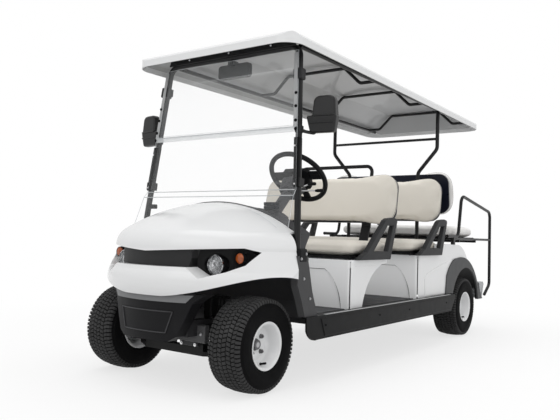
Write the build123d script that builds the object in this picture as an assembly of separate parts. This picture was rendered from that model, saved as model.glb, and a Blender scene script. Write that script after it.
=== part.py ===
from build123d import *
import math
import os

# Six-seat electric golf cart, in millimetres.
# X is the cart's left, -Y is forward, Z is up from the ground.
# Lengths along Y are measured from the front axle; save() moves them to the middle of the cart.

# ---- wheels and axles
WHEELBASE = 2570
TYRE_R = 228.5
TYRE_W = 199
TYRE_BEAD_W = 176
BEAD_R = 104
SHOULDER_R = 219
SHOULDER_W = 170
SIDEWALL_R = 160
FRONT_WHEEL_X = 432.5
REAR_WHEEL_X = 466
RIM_FLANGE_R = 116
RIM_WALL = 3.5
DISC_SET = 16
DISC_T = 5
DISH_R = 76
LUG_CIRCLE_R = 50.8
LUG_R = 9
LUG_H = 14
HUB_R = 32
HUB_INNER = 62
CAP_R = 27
CAP_H = 30
KINGPIN_X = 300
KINGPIN_R = 11
KNUCKLE_R = 20
KNUCKLE_HALF_H = 34
EAR_T = 18
SPINDLE_R = 12.5
STEER_ARM = 95
STEER_ARM_IN = 15
ARM_EYE_R = 15
ARM_T = 12
ARM_DROP = 32
TIE_ROD_R = 7
TIE_EYE_T = 18

# ---- chassis
RAIL_X = 175
RAIL_W = 50
RAIL_TOP = 330
RAIL_H = 75
RAIL_IN_X = RAIL_X - RAIL_W / 2
RAIL_OUT_X = RAIL_X + RAIL_W / 2
FRAME_FRONT_Y = -203
HORN_HALF_W = 140
HORN_FRONT_Y = -280
FRAME_REAR_Y = 2960
KICK_START_Y = 2084
KICK_END_Y = 2196
KICK_TOP = 475
ARM_LOW_Z = 150
ARM_LOW_T = 22
ARM_UP_T = 18
ARM_SPREAD = 90
ARM_TIP = 25
ARM_LEG = 20
STRUT_X = 240
STRUT_R = 22
STRUT_TOP_Z = 428
SPRING_W = 50
LEAF_T = 8
SPRING_SPAN = 330
AXLE_TUBE_R = 30
DIFF_R = 88
MOTOR_R = 85
MOTOR_L = 240

# ---- floor, sills and side panels
FLOOR_TOP = 342
FLOOR_T = 12
FLOOR_HALF_W = 545
FLOOR_FRONT_Y = 300
TOE_TOP_Z = 640
MAT_T = 5
SILL_OUT_X = 600
SILL_TOP = 350
SILL_BOTTOM = 231
SILL_T = 9
SILL_FLANGE_W = 50
SILL_FIELD_H = 4
SILL_FRONT_TOP_Y = 216
SILL_FRONT_LOW_Y = 318
SILL_REAR_LOW_Y = 2165
SILL_REAR_TOP_Y = 2238

# ---- nose: every section is measured from a vertical axis on the centre line
NOSE_AXIS_Y = 281
CREST_Z = 926
CROWN_R = 984
CROWN_EDGE_R = 540
HOOD_EDGE_R = 583
HOOD_EDGE_Z = 672
CHIN_R = 622
CHIN_Z = 518
CHIN_LOW_R = 598
CHIN_LOW_Z = 445
COWL_WALL = 6
COWL_REAR_Y = 200
FENDER_REAR_Y = 150
FENDER_TOP_Z = 655
COWL_HALF_W = 590
ARCH_PEAK_Y = 30
ARCH_PEAK_Z = 553
ARCH_R = 620
GRILLE_FACE_R = 562
GRILLE_T = 14
GRILLE_HALF_W = 236
LAMP_WALL_R = 512
HEADLAMP_X = 316
HEADLAMP_Z = 604
HEADLAMP_R = 49
HEADLAMP_FACE_Y = -150
HEADLAMP_L = 62
TURN_LAMP_X = 421
TURN_LAMP_Z = 638
TURN_LAMP_R = 28
TURN_LAMP_FACE_Y = -98
TURN_LAMP_L = 50
BUMPER_R = 585
BUMPER_WALL = 6
BUMPER_DEPTH = 60
BAND_T = 5

# ---- dash and steering
DASH_REAR_Y = 345
STEER_X = 285
STEER_Y = 572
STEER_Z = 1085
STEER_TILT = 45
WHEEL_R = 168
WHEEL_GRIP_R = 12
COLUMN_R = 30
COLUMN_L = 345

# ---- pillars, screen and roof
PILLAR_R = 17
PILLAR_FOOT_X = 556
PILLAR_FOOT_Y = 181
PILLAR_FOOT_Z = 655
PILLAR_TOP_X = 466
PILLAR_TOP_Z = 1743
PILLAR_LEAN = 5.78
PILLAR_BEND = 60
SCREEN_LEAD = 4
SCREEN_T = 5
SCREEN_SPLIT_Z = 1300
SCREEN_TOP_Z = 1715
SCREEN_JOG_TOP = 983
SCREEN_JOG_LOW = 952
SCREEN_JOG = 22
SCREEN_FOOT_Y = 112
SCREEN_FOOT_Z = 790
ROOF_FRONT_Y = 78
ROOF_REAR_Y = 2980
ROOF_FRONT_HALF = 566
ROOF_REAR_HALF = 515
ROOF_CORNER_R = 110
ROOF_RIM_Z = 1705
ROOF_RIM_H = 36
ROOF_ROLL = 20
ROOF_FLANK_X = 395
ROOF_FLANK_H = 98
ROOF_RIDGE_X = 238
ROOF_RIDGE_H = 169
ROOF_CROWN_H = 184
ROOF_WALL = 6
ROOF_DROP = 0.3
SIDE_TUBE_X = 452
SIDE_TUBE_R = 12.5
SIDE_TUBE_RISE = 44
HOOP_R = 11
HOOP_RISE = 154.5
HOOP_LOW_X = 340
HOOP_HIGH_X = 225
HOOP_Y = (1170, 1924, 2793)
MIRROR_X = 612
MIRROR_Y = 292
MIRROR_Z = 1276
STRUT_POST_Y = 2200
POST_R = 14
POST_LOW_X = 300
POST_BEND_TOP_Z = 1440
POST_BEND_LOW_Z = 1262
POST_TIE_Z = 1518

# ---- bodies under the seats
BASE_HALF_W = 545
BODY_WALL = 6
FRONT_BASE_Y = 745
FRONT_BASE_FOOT_Y = 885
FRONT_BASE_REAR_Y = 1200
BASE_TOP = 622
REAR_BODY_Y = 1680
REAR_BODY_TOP = 717
REAR_BODY_TAIL_Y = 2690
FLARE_OUT_X = 557
WHEEL_ARCH_R = 295
LEG_RECESS = 6
SWAGE_H = 4

# ---- seats
PAN_T = 14
PAN_INSET = 12
SEAT_PIN_R = 4
SEAT_PIN_L = 30
SEAT_PIN_SET = 6
CUSHION_T = 92
CUSHION_HALF_W = 522
FRONT_CUSHION_DEPTH = 525
MIDDLE_CUSHION_DEPTH = 470
FRONT_CUSHION_Y = 772
MIDDLE_CUSHION_Y = 1600
REAR_CUSHION_Y = 2425
REAR_CUSHION_DEPTH = 465
REAR_CUSHION_HALF_W = 500
REAR_CUSHION_Z = 772
BACK_HALF_W = 520
BACK_H = 325
BACK_T = 62
BACK_SHELL_T = 14
BACK_CORNER = 85
BACK_TILT = 8
FRONT_BACK_Y = 1312
FRONT_BACK_Z = 850
MIDDLE_BACK_Y = 2060
MIDDLE_BACK_Z = 888
REAR_BACK_Y = 2400
REAR_BACK_Z = 955
ARMREST_T = 30
ARMREST_TAB_T = 14
ARMREST_REAR_Y = 1980

# ---- guard frame and step at the back
GUARD_X = 540
GUARD_R = 12.5
GUARD_REAR_Y = 3217
GUARD_BAR_Z = 761
GUARD_BAR_R = 9.5
REAR_HINGE_Z = 765
GUARD_BENDS = 60
STEP_TOP = 402
STEP_REAR_Y = 3090
STEP_HALF_W = 527
DECK_DROP = 5
DECK_TUBE_R = 11
DECK_PIN_R = 6
DECK_PIN_L = 30

GAP = 0.3
PIN_GAP = 0.08
SWING_GAP = 6

ARMREST_IN_X = CUSHION_HALF_W + SWING_GAP
LEAN = math.radians(PILLAR_LEAN)
NOSE_Y = NOSE_AXIS_Y - CHIN_R
TAIL_Y = GUARD_REAR_Y + GUARD_R
ORIGIN_Y = (NOSE_Y + TAIL_Y) / 2
SIDES = ((1, "left"), (-1, "right"))

os.makedirs("parts", exist_ok=True)


def save(name, shape):
    """Write one node, moved so that the origin lies midway along the cart."""
    export_step(shape.moved(Location((0, -ORIGIN_Y, 0))), f"parts/{name}.step")


def block(x0, x1, y0, y1, z0, z1):
    """A box from its low and high corners."""
    size = (x1 - x0, y1 - y0, z1 - z0)
    return Pos((x0 + x1) / 2, (y0 + y1) / 2, (z0 + z1) / 2) * Box(*size)


def closed(points):
    return make_face(Polyline(*points, close=True))


def side_cut(profile, x0, x1):
    """Extrude a face drawn in (Y, Z) from x0 to x1."""
    placed = Plane.YZ.offset(x0) * profile
    return extrude(placed, amount=x1 - x0, dir=(1, 0, 0))


def front_cut(profile, y0, y1):
    """Extrude a face drawn in (X, Z) from y0 to y1."""
    placed = Plane.XZ.offset(-y0) * profile
    return extrude(placed, amount=y1 - y0, dir=(0, 1, 0))


def flip(shape):
    return mirror(shape, about=Plane.YZ)


def both(shape):
    """The left piece and its mirror image on the right."""
    return Compound(children=[shape, flip(shape)])


def rod(start, end, radius):
    """A round bar between two points."""
    axis = Vector(*end) - Vector(*start)
    plane = Plane(origin=start, z_dir=axis)
    return extrude(plane * Circle(radius), amount=axis.length)


def bent_tube(points, bend, radius):
    """A round tube along straight runs with equal bends."""
    path = FilletPolyline(*points, radius=bend)
    plane = Plane(origin=path @ 0, z_dir=path % 0)
    return sweep(plane * Circle(radius), path=path)


def around_nose(points):
    """Spin a closed (radius, Z) face about the nose axis."""
    face = Plane.XZ * points
    return Pos(0, NOSE_AXIS_Y, 0) * revolve(face, Axis.Z, 360)


def nose_ring(radius, wall, z0, z1):
    """A plain upright ring about the nose axis."""
    ring = Circle(radius) - Circle(radius - wall)
    return Pos(0, NOSE_AXIS_Y, z0) * extrude(ring, amount=z1 - z0)


# ---------------------------------------------------------------- wheels
def tyre(x, y):
    half = TYRE_BEAD_W / 2
    side = TYRE_W / 2
    shoulder = SHOULDER_W / 2
    flange = RIM_FLANGE_R + GAP
    edge = Curve() + [
        Line((-half, BEAD_R), (half, BEAD_R)),
        Line((half, BEAD_R), (half, flange)),
        ThreePointArc((half, flange), (side, SIDEWALL_R), (shoulder, SHOULDER_R)),
        ThreePointArc((shoulder, SHOULDER_R), (0, TYRE_R), (-shoulder, SHOULDER_R)),
        ThreePointArc((-shoulder, SHOULDER_R), (-side, SIDEWALL_R), (-half, flange)),
        Line((-half, flange), (-half, BEAD_R)),
    ]
    return Pos(x, y, TYRE_R) * revolve(Plane.XZ * make_face(edge), Axis.X, 360)


def rim(x, y, bore_r):
    """A dished steel rim with its hub and nuts; +X is the outer face."""
    half = TYRE_BEAD_W / 2 + GAP
    seat = BEAD_R - GAP
    inner = seat - RIM_WALL
    barrel = closed([
        (-half - RIM_WALL, inner), (half + RIM_WALL, inner), (half + RIM_WALL, RIM_FLANGE_R),
        (half, RIM_FLANGE_R), (half, seat), (-half, seat), (-half, RIM_FLANGE_R),
        (-half - RIM_WALL, RIM_FLANGE_R),
    ])
    disc = closed([
        (DISC_SET, 0), (DISC_SET + DISC_T, 0), (DISC_SET + DISC_T, DISH_R),
        (DISC_SET + DISC_T + 22, inner + 1), (DISC_SET + 18, inner + 1), (DISC_SET, DISH_R + 4),
    ])
    hub = closed([
        (-HUB_INNER, 0), (DISC_SET + 1, 0), (DISC_SET + 1, LUG_CIRCLE_R + 12), (DISC_SET - 8, LUG_CIRCLE_R + 12),
        (DISC_SET - 8, HUB_R), (-HUB_INNER, HUB_R),
    ])
    face = DISC_SET + DISC_T
    cap = closed([(face - 1, 0), (face + CAP_H, 0), (face + CAP_H, CAP_R - 6), (face + CAP_H - 6, CAP_R),
                  (face - 1, CAP_R)])
    wheel = revolve(Plane.XZ * barrel, Axis.X, 360)
    for part in (disc, hub, cap):
        wheel += revolve(Plane.XZ * part, Axis.X, 360)
    for turn in range(4):
        nut = rod((face - 1, 0, LUG_CIRCLE_R), (face + LUG_H, 0, LUG_CIRCLE_R), LUG_R)
        wheel += Rot(turn * 90 + 45, 0, 0) * nut
    if bore_r:
        wheel -= rod((-HUB_INNER - 1, 0, 0), (face + CAP_H - 10, 0, 0), bore_r)
    return Pos(x, y, TYRE_R) * wheel


def knuckle():
    """Left steering knuckle: barrel, spindle and the arm that the tie rod turns."""
    barrel = rod((0, 0, -KNUCKLE_HALF_H), (0, 0, KNUCKLE_HALF_H), KNUCKLE_R)
    tip = FRONT_WHEEL_X - KINGPIN_X + DISC_SET + DISC_T + CAP_H - 14
    shoulder = FRONT_WHEEL_X - KINGPIN_X - HUB_INNER - SWING_GAP
    body = barrel + rod((0, 0, 0), (tip, 0, 0), SPINDLE_R)
    body += rod((0, 0, 0), (shoulder, 0, 0), KNUCKLE_R)
    low = -ARM_DROP
    arm = closed([(-KNUCKLE_R, 0), (KNUCKLE_R, 0), (ARM_EYE_R - STEER_ARM_IN, STEER_ARM),
                  (-ARM_EYE_R - STEER_ARM_IN, STEER_ARM)])
    plate = extrude(arm, amount=ARM_T) + Pos(-STEER_ARM_IN, STEER_ARM) * extrude(Circle(ARM_EYE_R), amount=ARM_T)
    body += Pos(0, 0, low) * plate
    body -= rod((0, 0, -KNUCKLE_HALF_H - 1), (0, 0, KNUCKLE_HALF_H + 1), KINGPIN_R + PIN_GAP)
    return Pos(KINGPIN_X, 0, TYRE_R) * body


def tie_rod():
    """Cross rod whose flat eyes ride on top of the steering arms."""
    eye_x = KINGPIN_X - STEER_ARM_IN
    bottom = TYRE_R - ARM_DROP + ARM_T + GAP
    eye = Pos(eye_x, STEER_ARM, bottom) * extrude(Circle(ARM_EYE_R), amount=TIE_EYE_T)
    bar_z = bottom + TIE_EYE_T / 2
    bar = rod((-eye_x, STEER_ARM, bar_z), (eye_x, STEER_ARM, bar_z), TIE_ROD_R)
    return bar + eye + flip(eye)


def wheels():
    # name, x, y, bore
    rows = (("front", FRONT_WHEEL_X, 0, SPINDLE_R + PIN_GAP), ("rear", REAR_WHEEL_X, WHEELBASE, SPINDLE_R + PIN_GAP))
    for row, x, y, bore in rows:
        left_tyre = tyre(x, y)
        left_rim = rim(x, y, bore)
        save(f"{row}_tyre_left", left_tyre)
        save(f"{row}_tyre_right", flip(left_tyre))
        save(f"{row}_rim_left", left_rim)
        save(f"{row}_rim_right", flip(left_rim))
    save("knuckle_left", knuckle())
    save("knuckle_right", flip(knuckle()))
    save("tie_rod", tie_rod())


# ---------------------------------------------------------------- chassis
def wishbone(z, thickness, pin_x):
    """A flat A-shaped arm from the frame to the kingpin, open in the middle."""
    root = RAIL_X + RAIL_W / 2 + GAP
    outer = closed([(root, -ARM_SPREAD), (pin_x, -ARM_TIP), (pin_x, ARM_TIP), (root, ARM_SPREAD)])
    hole_tip = pin_x - ARM_LEG - 8
    hole = closed([(root + ARM_LEG, -ARM_SPREAD + 2 * ARM_LEG - 4), (hole_tip, -ARM_TIP + 10),
                   (hole_tip, ARM_TIP - 10), (root + ARM_LEG, ARM_SPREAD - 2 * ARM_LEG + 4)])
    plate = extrude(outer - hole, amount=thickness)
    plate += Pos(pin_x, 0, 0) * extrude(Circle(ARM_TIP), amount=thickness)
    return Pos(0, 0, z) * plate


def front_suspension():
    """Left wishbones, kingpin with its two ears, and the coil strut."""
    ear_low = TYRE_R - KNUCKLE_HALF_H - GAP - EAR_T
    ear_high = TYRE_R + KNUCKLE_HALF_H + GAP
    lower = wishbone(ARM_LOW_Z, ARM_LOW_T, KINGPIN_X)
    solid_middle = block(STRUT_X - STRUT_R - 4, STRUT_X + STRUT_R, -38, 38, ARM_LOW_Z, ARM_LOW_Z + ARM_LOW_T)
    upper = wishbone(ear_high + EAR_T, ARM_UP_T, KINGPIN_X)
    ears = Pos(KINGPIN_X, 0, ARM_LOW_Z) * extrude(Circle(ARM_TIP), amount=ear_low + EAR_T - ARM_LOW_Z)
    ears += Pos(KINGPIN_X, 0, ear_high) * extrude(Circle(ARM_TIP), amount=EAR_T + ARM_UP_T)
    pin = rod((KINGPIN_X, 0, ARM_LOW_Z), (KINGPIN_X, 0, ear_high + EAR_T), KINGPIN_R)
    strut_foot = ARM_LOW_Z + ARM_LOW_T
    strut = rod((STRUT_X, 0, strut_foot), (STRUT_X, 0, STRUT_TOP_Z - GAP), STRUT_R - 8)
    coils = 7
    pitch = (STRUT_TOP_Z - strut_foot - 40) / coils
    for turn in range(coils):
        ring = Pos(STRUT_X, 0, strut_foot + 30 + turn * pitch) * Torus(STRUT_R - 6, 5)
        strut += ring
    return lower + solid_middle + upper + ears + pin + strut


def chassis_rails():
    """Two box rails, raised over the rear axle, with the outriggers that carry the sills."""
    rail_low = RAIL_TOP - RAIL_H
    kick_low = KICK_TOP - RAIL_H
    shift = 20
    profile = closed([
        (FRAME_FRONT_Y, rail_low), (KICK_START_Y + shift, rail_low), (KICK_END_Y + shift, kick_low),
        (FRAME_REAR_Y, kick_low), (FRAME_REAR_Y, KICK_TOP), (KICK_END_Y, KICK_TOP),
        (KICK_START_Y, RAIL_TOP), (FRAME_FRONT_Y, RAIL_TOP),
    ])
    left = side_cut(profile, RAIL_IN_X, RAIL_OUT_X)
    wing = block(RAIL_OUT_X - 1, SILL_OUT_X - SILL_T - GAP, -22, 22, RAIL_TOP - 42, RAIL_TOP - 8)
    for y in (430, 1000, 1560, 2060):
        left += Pos(0, y, 0) * wing
    return left


def cross_members():
    """Box bars between the rails, low along the floor and high over the rear axle."""
    # y, height of the rail's top there
    rows = ((-178, RAIL_TOP), (400, RAIL_TOP), (900, RAIL_TOP), (1400, RAIL_TOP), (2000, RAIL_TOP), (2330, KICK_TOP),
            (2930, KICK_TOP))
    half = RAIL_IN_X - GAP
    bars = [block(-half, half, y - 25, y + 25, top - RAIL_H + 5, top - 5) for y, top in rows]
    return Compound(children=bars)


def front_subframe():
    """Strut towers, the H-shaped frame that carries the lower wishbones, and the nose piece."""
    rail_low = RAIL_TOP - RAIL_H - GAP
    deck = RAIL_TOP + GAP
    tower = block(RAIL_IN_X, STRUT_X + 24, -34, 34, STRUT_TOP_Z, STRUT_TOP_Z + 12)
    tower += block(RAIL_IN_X, RAIL_OUT_X - 12, -34, -26, deck, STRUT_TOP_Z)
    tower += block(RAIL_IN_X, RAIL_OUT_X - 12, 26, 34, deck, STRUT_TOP_Z)
    side = block(RAIL_IN_X, RAIL_OUT_X, -ARM_SPREAD, -ARM_SPREAD + 46, ARM_LOW_Z, rail_low)
    side += block(RAIL_IN_X, RAIL_OUT_X, 14, 62, ARM_LOW_Z, rail_low)
    side += block(RAIL_IN_X, RAIL_OUT_X, -ARM_SPREAD, ARM_SPREAD, ARM_LOW_Z, ARM_LOW_Z + ARM_LOW_T)
    bar = block(-RAIL_IN_X - 1, RAIL_IN_X + 1, -ARM_SPREAD, -ARM_SPREAD + 46, ARM_LOW_Z, ARM_LOW_Z + 40)
    cradle = bar + side + flip(side)
    horn = block(-HORN_HALF_W, HORN_HALF_W, HORN_FRONT_Y, FRAME_FRONT_Y - GAP, RAIL_TOP - RAIL_H + 8, RAIL_TOP - 8)
    return Compound(children=[tower, flip(tower), cradle, horn])


def rear_axle():
    tube_end = REAR_WHEEL_X - HUB_INNER - SWING_GAP
    tip = REAR_WHEEL_X + DISC_SET + DISC_T + CAP_H - 14
    left = rod((0, WHEELBASE, TYRE_R), (tube_end, WHEELBASE, TYRE_R), AXLE_TUBE_R)
    left += rod((tube_end, WHEELBASE, TYRE_R), (tip, WHEELBASE, TYRE_R), SPINDLE_R)
    left += rod((tube_end - 30, WHEELBASE, TYRE_R), (tube_end, WHEELBASE, TYRE_R), AXLE_TUBE_R + 22)
    ring = Pos(0, WHEELBASE, TYRE_R) * Rot(0, 90, 0) * Cylinder(DIFF_R, 120)
    ring = fillet(ring.edges(), 22)
    return ring + left + flip(left)


def drive_motor():
    lift = 20
    y = WHEELBASE - math.sqrt((DIFF_R + MOTOR_R + GAP) ** 2 - lift ** 2)
    body = rod((-MOTOR_L / 2, y, TYRE_R + lift), (MOTOR_L / 2, y, TYRE_R + lift), MOTOR_R)
    return fillet(body.edges(), 10)


def rear_spring():
    """Left leaf stack under the axle, with its hangers up to the rail."""
    low = TYRE_R - AXLE_TUBE_R - GAP
    sag = 55
    stack = None
    for index, share in enumerate((1.0, 0.72, 0.45)):
        span = SPRING_SPAN * share
        rise = sag * share * share
        top = low - index * LEAF_T
        curve = ThreePointArc((-span, top + rise), (0, top), (span, top + rise))
        under = ThreePointArc((span, top + rise - LEAF_T), (0, top - LEAF_T), (-span, top + rise - LEAF_T))
        outline = Curve() + [
            curve,
            Line((span, top + rise), (span, top + rise - LEAF_T)),
            under,
            Line((-span, top + rise - LEAF_T), (-span, top + rise)),
        ]
        leaf = side_cut(make_face(outline), RAIL_X - SPRING_W / 2, RAIL_X + SPRING_W / 2)
        stack = leaf if stack is None else stack + leaf
    clamp = block(RAIL_X - 34, RAIL_X + 34, -30, 30, low - 3 * LEAF_T - 8, low - 3 * LEAF_T + 1)
    stack += clamp
    end_z = low + sag
    kick_low = KICK_TOP - RAIL_H - GAP
    for end in (-1, 1):
        stack += block(RAIL_X - 20, RAIL_X + 20, end * SPRING_SPAN - 14, end * SPRING_SPAN + 14, end_z - LEAF_T, kick_low)
    return Pos(0, WHEELBASE, 0) * stack


def floor_pan():
    """Floor sheet that turns up into the toe board."""
    low = FLOOR_TOP - FLOOR_T
    y = FLOOR_FRONT_Y
    profile = closed([
        (y + 18, low), (REAR_BODY_Y + 60, low), (REAR_BODY_Y + 60, FLOOR_TOP), (y + 60, FLOOR_TOP),
        (y + 12, FLOOR_TOP + 74), (y + 4, TOE_TOP_Z), (y - 6, TOE_TOP_Z), (y, FLOOR_TOP + 74),
    ])
    return side_cut(profile, -FLOOR_HALF_W, FLOOR_HALF_W)


def floor_mat():
    low = FLOOR_TOP + GAP
    margin = 30
    front = block(-FLOOR_HALF_W + margin, FLOOR_HALF_W - margin, FLOOR_FRONT_Y + 75, FRONT_BASE_Y - 8, low, low + MAT_T)
    middle = block(-FLOOR_HALF_W + margin, FLOOR_HALF_W - margin, FRONT_BASE_FOOT_Y + 10, REAR_BODY_Y - 8, low, low + MAT_T)
    return Compound(children=[front, middle])


def sill():
    """Left step: a top tread and a deep outer skirt, rounded at its front foot."""
    skirt_edge = Curve() + [
        Line((SILL_FRONT_TOP_Y, SILL_TOP), (SILL_FRONT_TOP_Y + 4, SILL_BOTTOM + 50)),
        ThreePointArc((SILL_FRONT_TOP_Y + 4, SILL_BOTTOM + 50), (SILL_FRONT_LOW_Y - 66, SILL_BOTTOM + 14),
                      (SILL_FRONT_LOW_Y, SILL_BOTTOM)),
        Line((SILL_FRONT_LOW_Y, SILL_BOTTOM), (SILL_REAR_LOW_Y, SILL_BOTTOM)),
        Line((SILL_REAR_LOW_Y, SILL_BOTTOM), (SILL_REAR_TOP_Y, SILL_TOP - 30)),
        Line((SILL_REAR_TOP_Y, SILL_TOP - 30), (SILL_REAR_TOP_Y, SILL_TOP)),
        Line((SILL_REAR_TOP_Y, SILL_TOP), (SILL_FRONT_TOP_Y, SILL_TOP)),
    ]
    skirt = side_cut(make_face(skirt_edge), SILL_OUT_X - SILL_T, SILL_OUT_X)
    tread = block(SILL_OUT_X - SILL_FLANGE_W, SILL_OUT_X, SILL_FRONT_TOP_Y + 30, SILL_REAR_TOP_Y,
                  SILL_TOP - SILL_T, SILL_TOP)
    # raised field along the skirt, with a slanted front end
    field = closed([(SILL_FRONT_LOW_Y + 30, SILL_TOP - 14), (SILL_FRONT_LOW_Y + 70, SILL_BOTTOM + 12),
                    (SILL_REAR_LOW_Y - 24, SILL_BOTTOM + 12), (SILL_REAR_LOW_Y + 16, SILL_TOP - 14)])
    raised = side_cut(field, SILL_OUT_X - 1, SILL_OUT_X + SILL_FIELD_H)
    raised = chamfer(raised.faces().sort_by(Axis.X)[-1].edges(), SILL_FIELD_H - 0.5)
    return skirt + tread + raised


def cowl_side():
    """Left black panel behind the front arch, which carries the pillar foot."""
    top = PILLAR_FOOT_Z - PILLAR_R * math.sin(LEAN) - GAP
    low = SILL_TOP + GAP
    profile = closed([
        (FENDER_REAR_Y + GAP, top), (232, top), (250, 600), (282, 480), (338, low), (222, low), (190, 430),
        (FENDER_REAR_Y + GAP, 510),
    ])
    return side_cut(profile, FLOOR_HALF_W + GAP, COWL_HALF_W - 4)


def chassis():
    save("chassis_rails", both(chassis_rails()))
    save("cross_members", cross_members())
    save("front_subframe", front_subframe())
    save("front_suspension", both(front_suspension()))
    save("rear_axle", rear_axle())
    save("drive_motor", drive_motor())
    save("rear_springs", both(rear_spring()))
    save("floor_pan", floor_pan())
    save("floor_mat", floor_mat())
    save("sills", both(sill()))
    save("cowl_sides", both(cowl_side()))


# ---------------------------------------------------------------- nose
def cowl_solid(inset):
    """The whole nose form, drawn as a half section and spun about the nose axis."""
    crest = CREST_Z - inset
    crown = CROWN_R - inset
    edge_r = CROWN_EDGE_R - inset
    edge_z = crest - crown + math.sqrt(crown ** 2 - edge_r ** 2)
    mid_r = edge_r * 0.55
    mid_z = crest - crown + math.sqrt(crown ** 2 - mid_r ** 2)
    hood_r = HOOD_EDGE_R - inset
    low_z = CHIN_LOW_Z - 2 * inset
    outline = Curve() + [
        ThreePointArc((0, crest), (mid_r, mid_z), (edge_r, edge_z)),
        ThreePointArc((edge_r, edge_z), (hood_r - 10, (edge_z + HOOD_EDGE_Z) / 2 + 6), (hood_r, HOOD_EDGE_Z)),
        Line((hood_r, HOOD_EDGE_Z), (CHIN_R - 14 - inset, CHIN_Z + 54)),
        ThreePointArc((CHIN_R - 14 - inset, CHIN_Z + 54), (CHIN_R - inset, CHIN_Z), (CHIN_LOW_R - inset, low_z)),
        Line((CHIN_LOW_R - inset, low_z), (0, low_z)),
        Line((0, low_z), (0, crest)),
    ]
    solid = around_nose(make_face(outline))
    side = COWL_HALF_W - inset
    keep = block(-side, side, -400, COWL_REAR_Y, low_z, crest + 1)
    return solid & keep


def lamp_opening(grow=0.0):
    """Six-sided outline of the lamp band, seen from the front."""
    # x, z of the left half, from the centre line outwards and back
    half = ((0, 661 + grow), (445, 686 + grow), (496 + grow, 668), (460 + grow, 606), (402, 574 - grow),
            (305, 541 - grow), (238, 591 - grow), (0, 591 - grow))
    left = closed(half)
    return left + mirror(left, about=Plane.YZ)


def front_cowl():
    shell = cowl_solid(0) - cowl_solid(COWL_WALL)
    arch = Pos(0, ARCH_PEAK_Y, ARCH_PEAK_Z - ARCH_R) * Rot(0, 90, 0) * Cylinder(ARCH_R, 1400)
    shell -= arch
    shell -= block(-700, 700, FENDER_REAR_Y, 400, 0, FENDER_TOP_Z)
    # clearance round each pillar's foot
    notch = block(PILLAR_FOOT_X - 30, 700, FENDER_REAR_Y + 6, 400, 0, 900)
    shell -= notch + flip(notch)
    shell -= front_cut(lamp_opening(), -400, 60)
    # lip that runs back from the opening to the lamp panel
    lip = front_cut(lamp_opening(COWL_WALL), -400, 60) - front_cut(lamp_opening(), -401, 61)
    shell += lip & nose_ring(CHIN_R, CHIN_R - LAMP_WALL_R, 500, 720) & cowl_solid(1)
    return shell.solids().sort_by(SortBy.VOLUME)[-1]


def lamp_panel():
    """Black band behind the opening: a proud centre and two deep lamp wells."""
    outline = front_cut(lamp_opening(-GAP), -400, 60)
    back = nose_ring(LAMP_WALL_R + GRILLE_T, GRILLE_T, 500, 720) & outline
    centre = nose_ring(GRILLE_FACE_R, GRILLE_FACE_R - LAMP_WALL_R, 500, 720) & outline
    centre &= block(-GRILLE_HALF_W, GRILLE_HALF_W, -400, 60, 500, 720)
    panel = back + centre
    for side in (1, -1):
        # the well walls run out to the skin above and below the lamps
        panel -= rod((side * HEADLAMP_X, -400, HEADLAMP_Z), (side * HEADLAMP_X, 60, HEADLAMP_Z), HEADLAMP_R + GAP)
        panel -= rod((side * TURN_LAMP_X, -400, TURN_LAMP_Z), (side * TURN_LAMP_X, 60, TURN_LAMP_Z), TURN_LAMP_R + GAP)
    return panel.solids().sort_by(SortBy.VOLUME)[-1]


def lamp(x, z, radius, face_y, length, dome):
    """A round lamp that faces forward, with a domed lens."""
    outline = Curve() + [
        ThreePointArc((0, dome), (radius * 0.6, dome * 0.72), (radius, 0)),
        Line((radius, 0), (radius, -length)),
        Line((radius, -length), (0, -length)),
        Line((0, -length), (0, dome)),
    ]
    body = revolve(Plane.XZ * make_face(outline), Axis.Z, 360)
    return Pos(x, face_y, z) * Rot(90, 0, 0) * body


def bumper_outline():
    return closed([(-312, 462), (312, 462), (262, 420), (225, 330), (190, 262), (150, 238),
                   (-150, 238), (-190, 262), (-225, 330), (-262, 420)])


def bumper():
    outline = front_cut(bumper_outline(), -400, 60)
    skin = nose_ring(BUMPER_R, BUMPER_WALL, 200, 500) & outline
    rim_ring = nose_ring(BUMPER_R, BUMPER_DEPTH, 200, 500) & outline
    inner = offset(bumper_outline(), amount=-BUMPER_WALL, kind=Kind.INTERSECTION)
    rim_ring -= front_cut(inner, -400, 60)
    body = skin + rim_ring
    panel = closed([(-178, 384), (178, 384), (142, 274), (-142, 274)])
    groove = front_cut(panel, -400, 60) - front_cut(offset(panel, amount=-7), -401, 61)
    body -= groove & nose_ring(BUMPER_R + 1, 4, 200, 500)
    body = body & block(-400, 400, -400, -100, 200, 500)
    return body.solids().sort_by(SortBy.VOLUME)[-1]


def bumper_band():
    face = closed([(-268, 460), (268, 460), (234, 424), (-234, 424)])
    band = nose_ring(BUMPER_R + GAP + BAND_T, BAND_T, 400, 480) & front_cut(face, -400, 0)
    return band.solids().sort_by(SortBy.VOLUME)[-1]


def nose():
    save("front_cowl", front_cowl())
    save("lamp_panel", lamp_panel())
    save("headlamps", both(lamp(HEADLAMP_X, HEADLAMP_Z, HEADLAMP_R, HEADLAMP_FACE_Y, HEADLAMP_L, 10)))
    save("turn_lamps", both(lamp(TURN_LAMP_X, TURN_LAMP_Z, TURN_LAMP_R, TURN_LAMP_FACE_Y, TURN_LAMP_L, 9)))
    save("bumper", bumper())
    save("bumper_band", bumper_band())


# ---------------------------------------------------------------- dash and steering
COLUMN_DIR = Vector(0, -math.cos(math.radians(STEER_TILT)), -math.sin(math.radians(STEER_TILT)))
STEER_HUB = Vector(STEER_X, STEER_Y, STEER_Z)


def along_column(distance):
    point = STEER_HUB + COLUMN_DIR * distance
    return (point.X, point.Y, point.Z)


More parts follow.
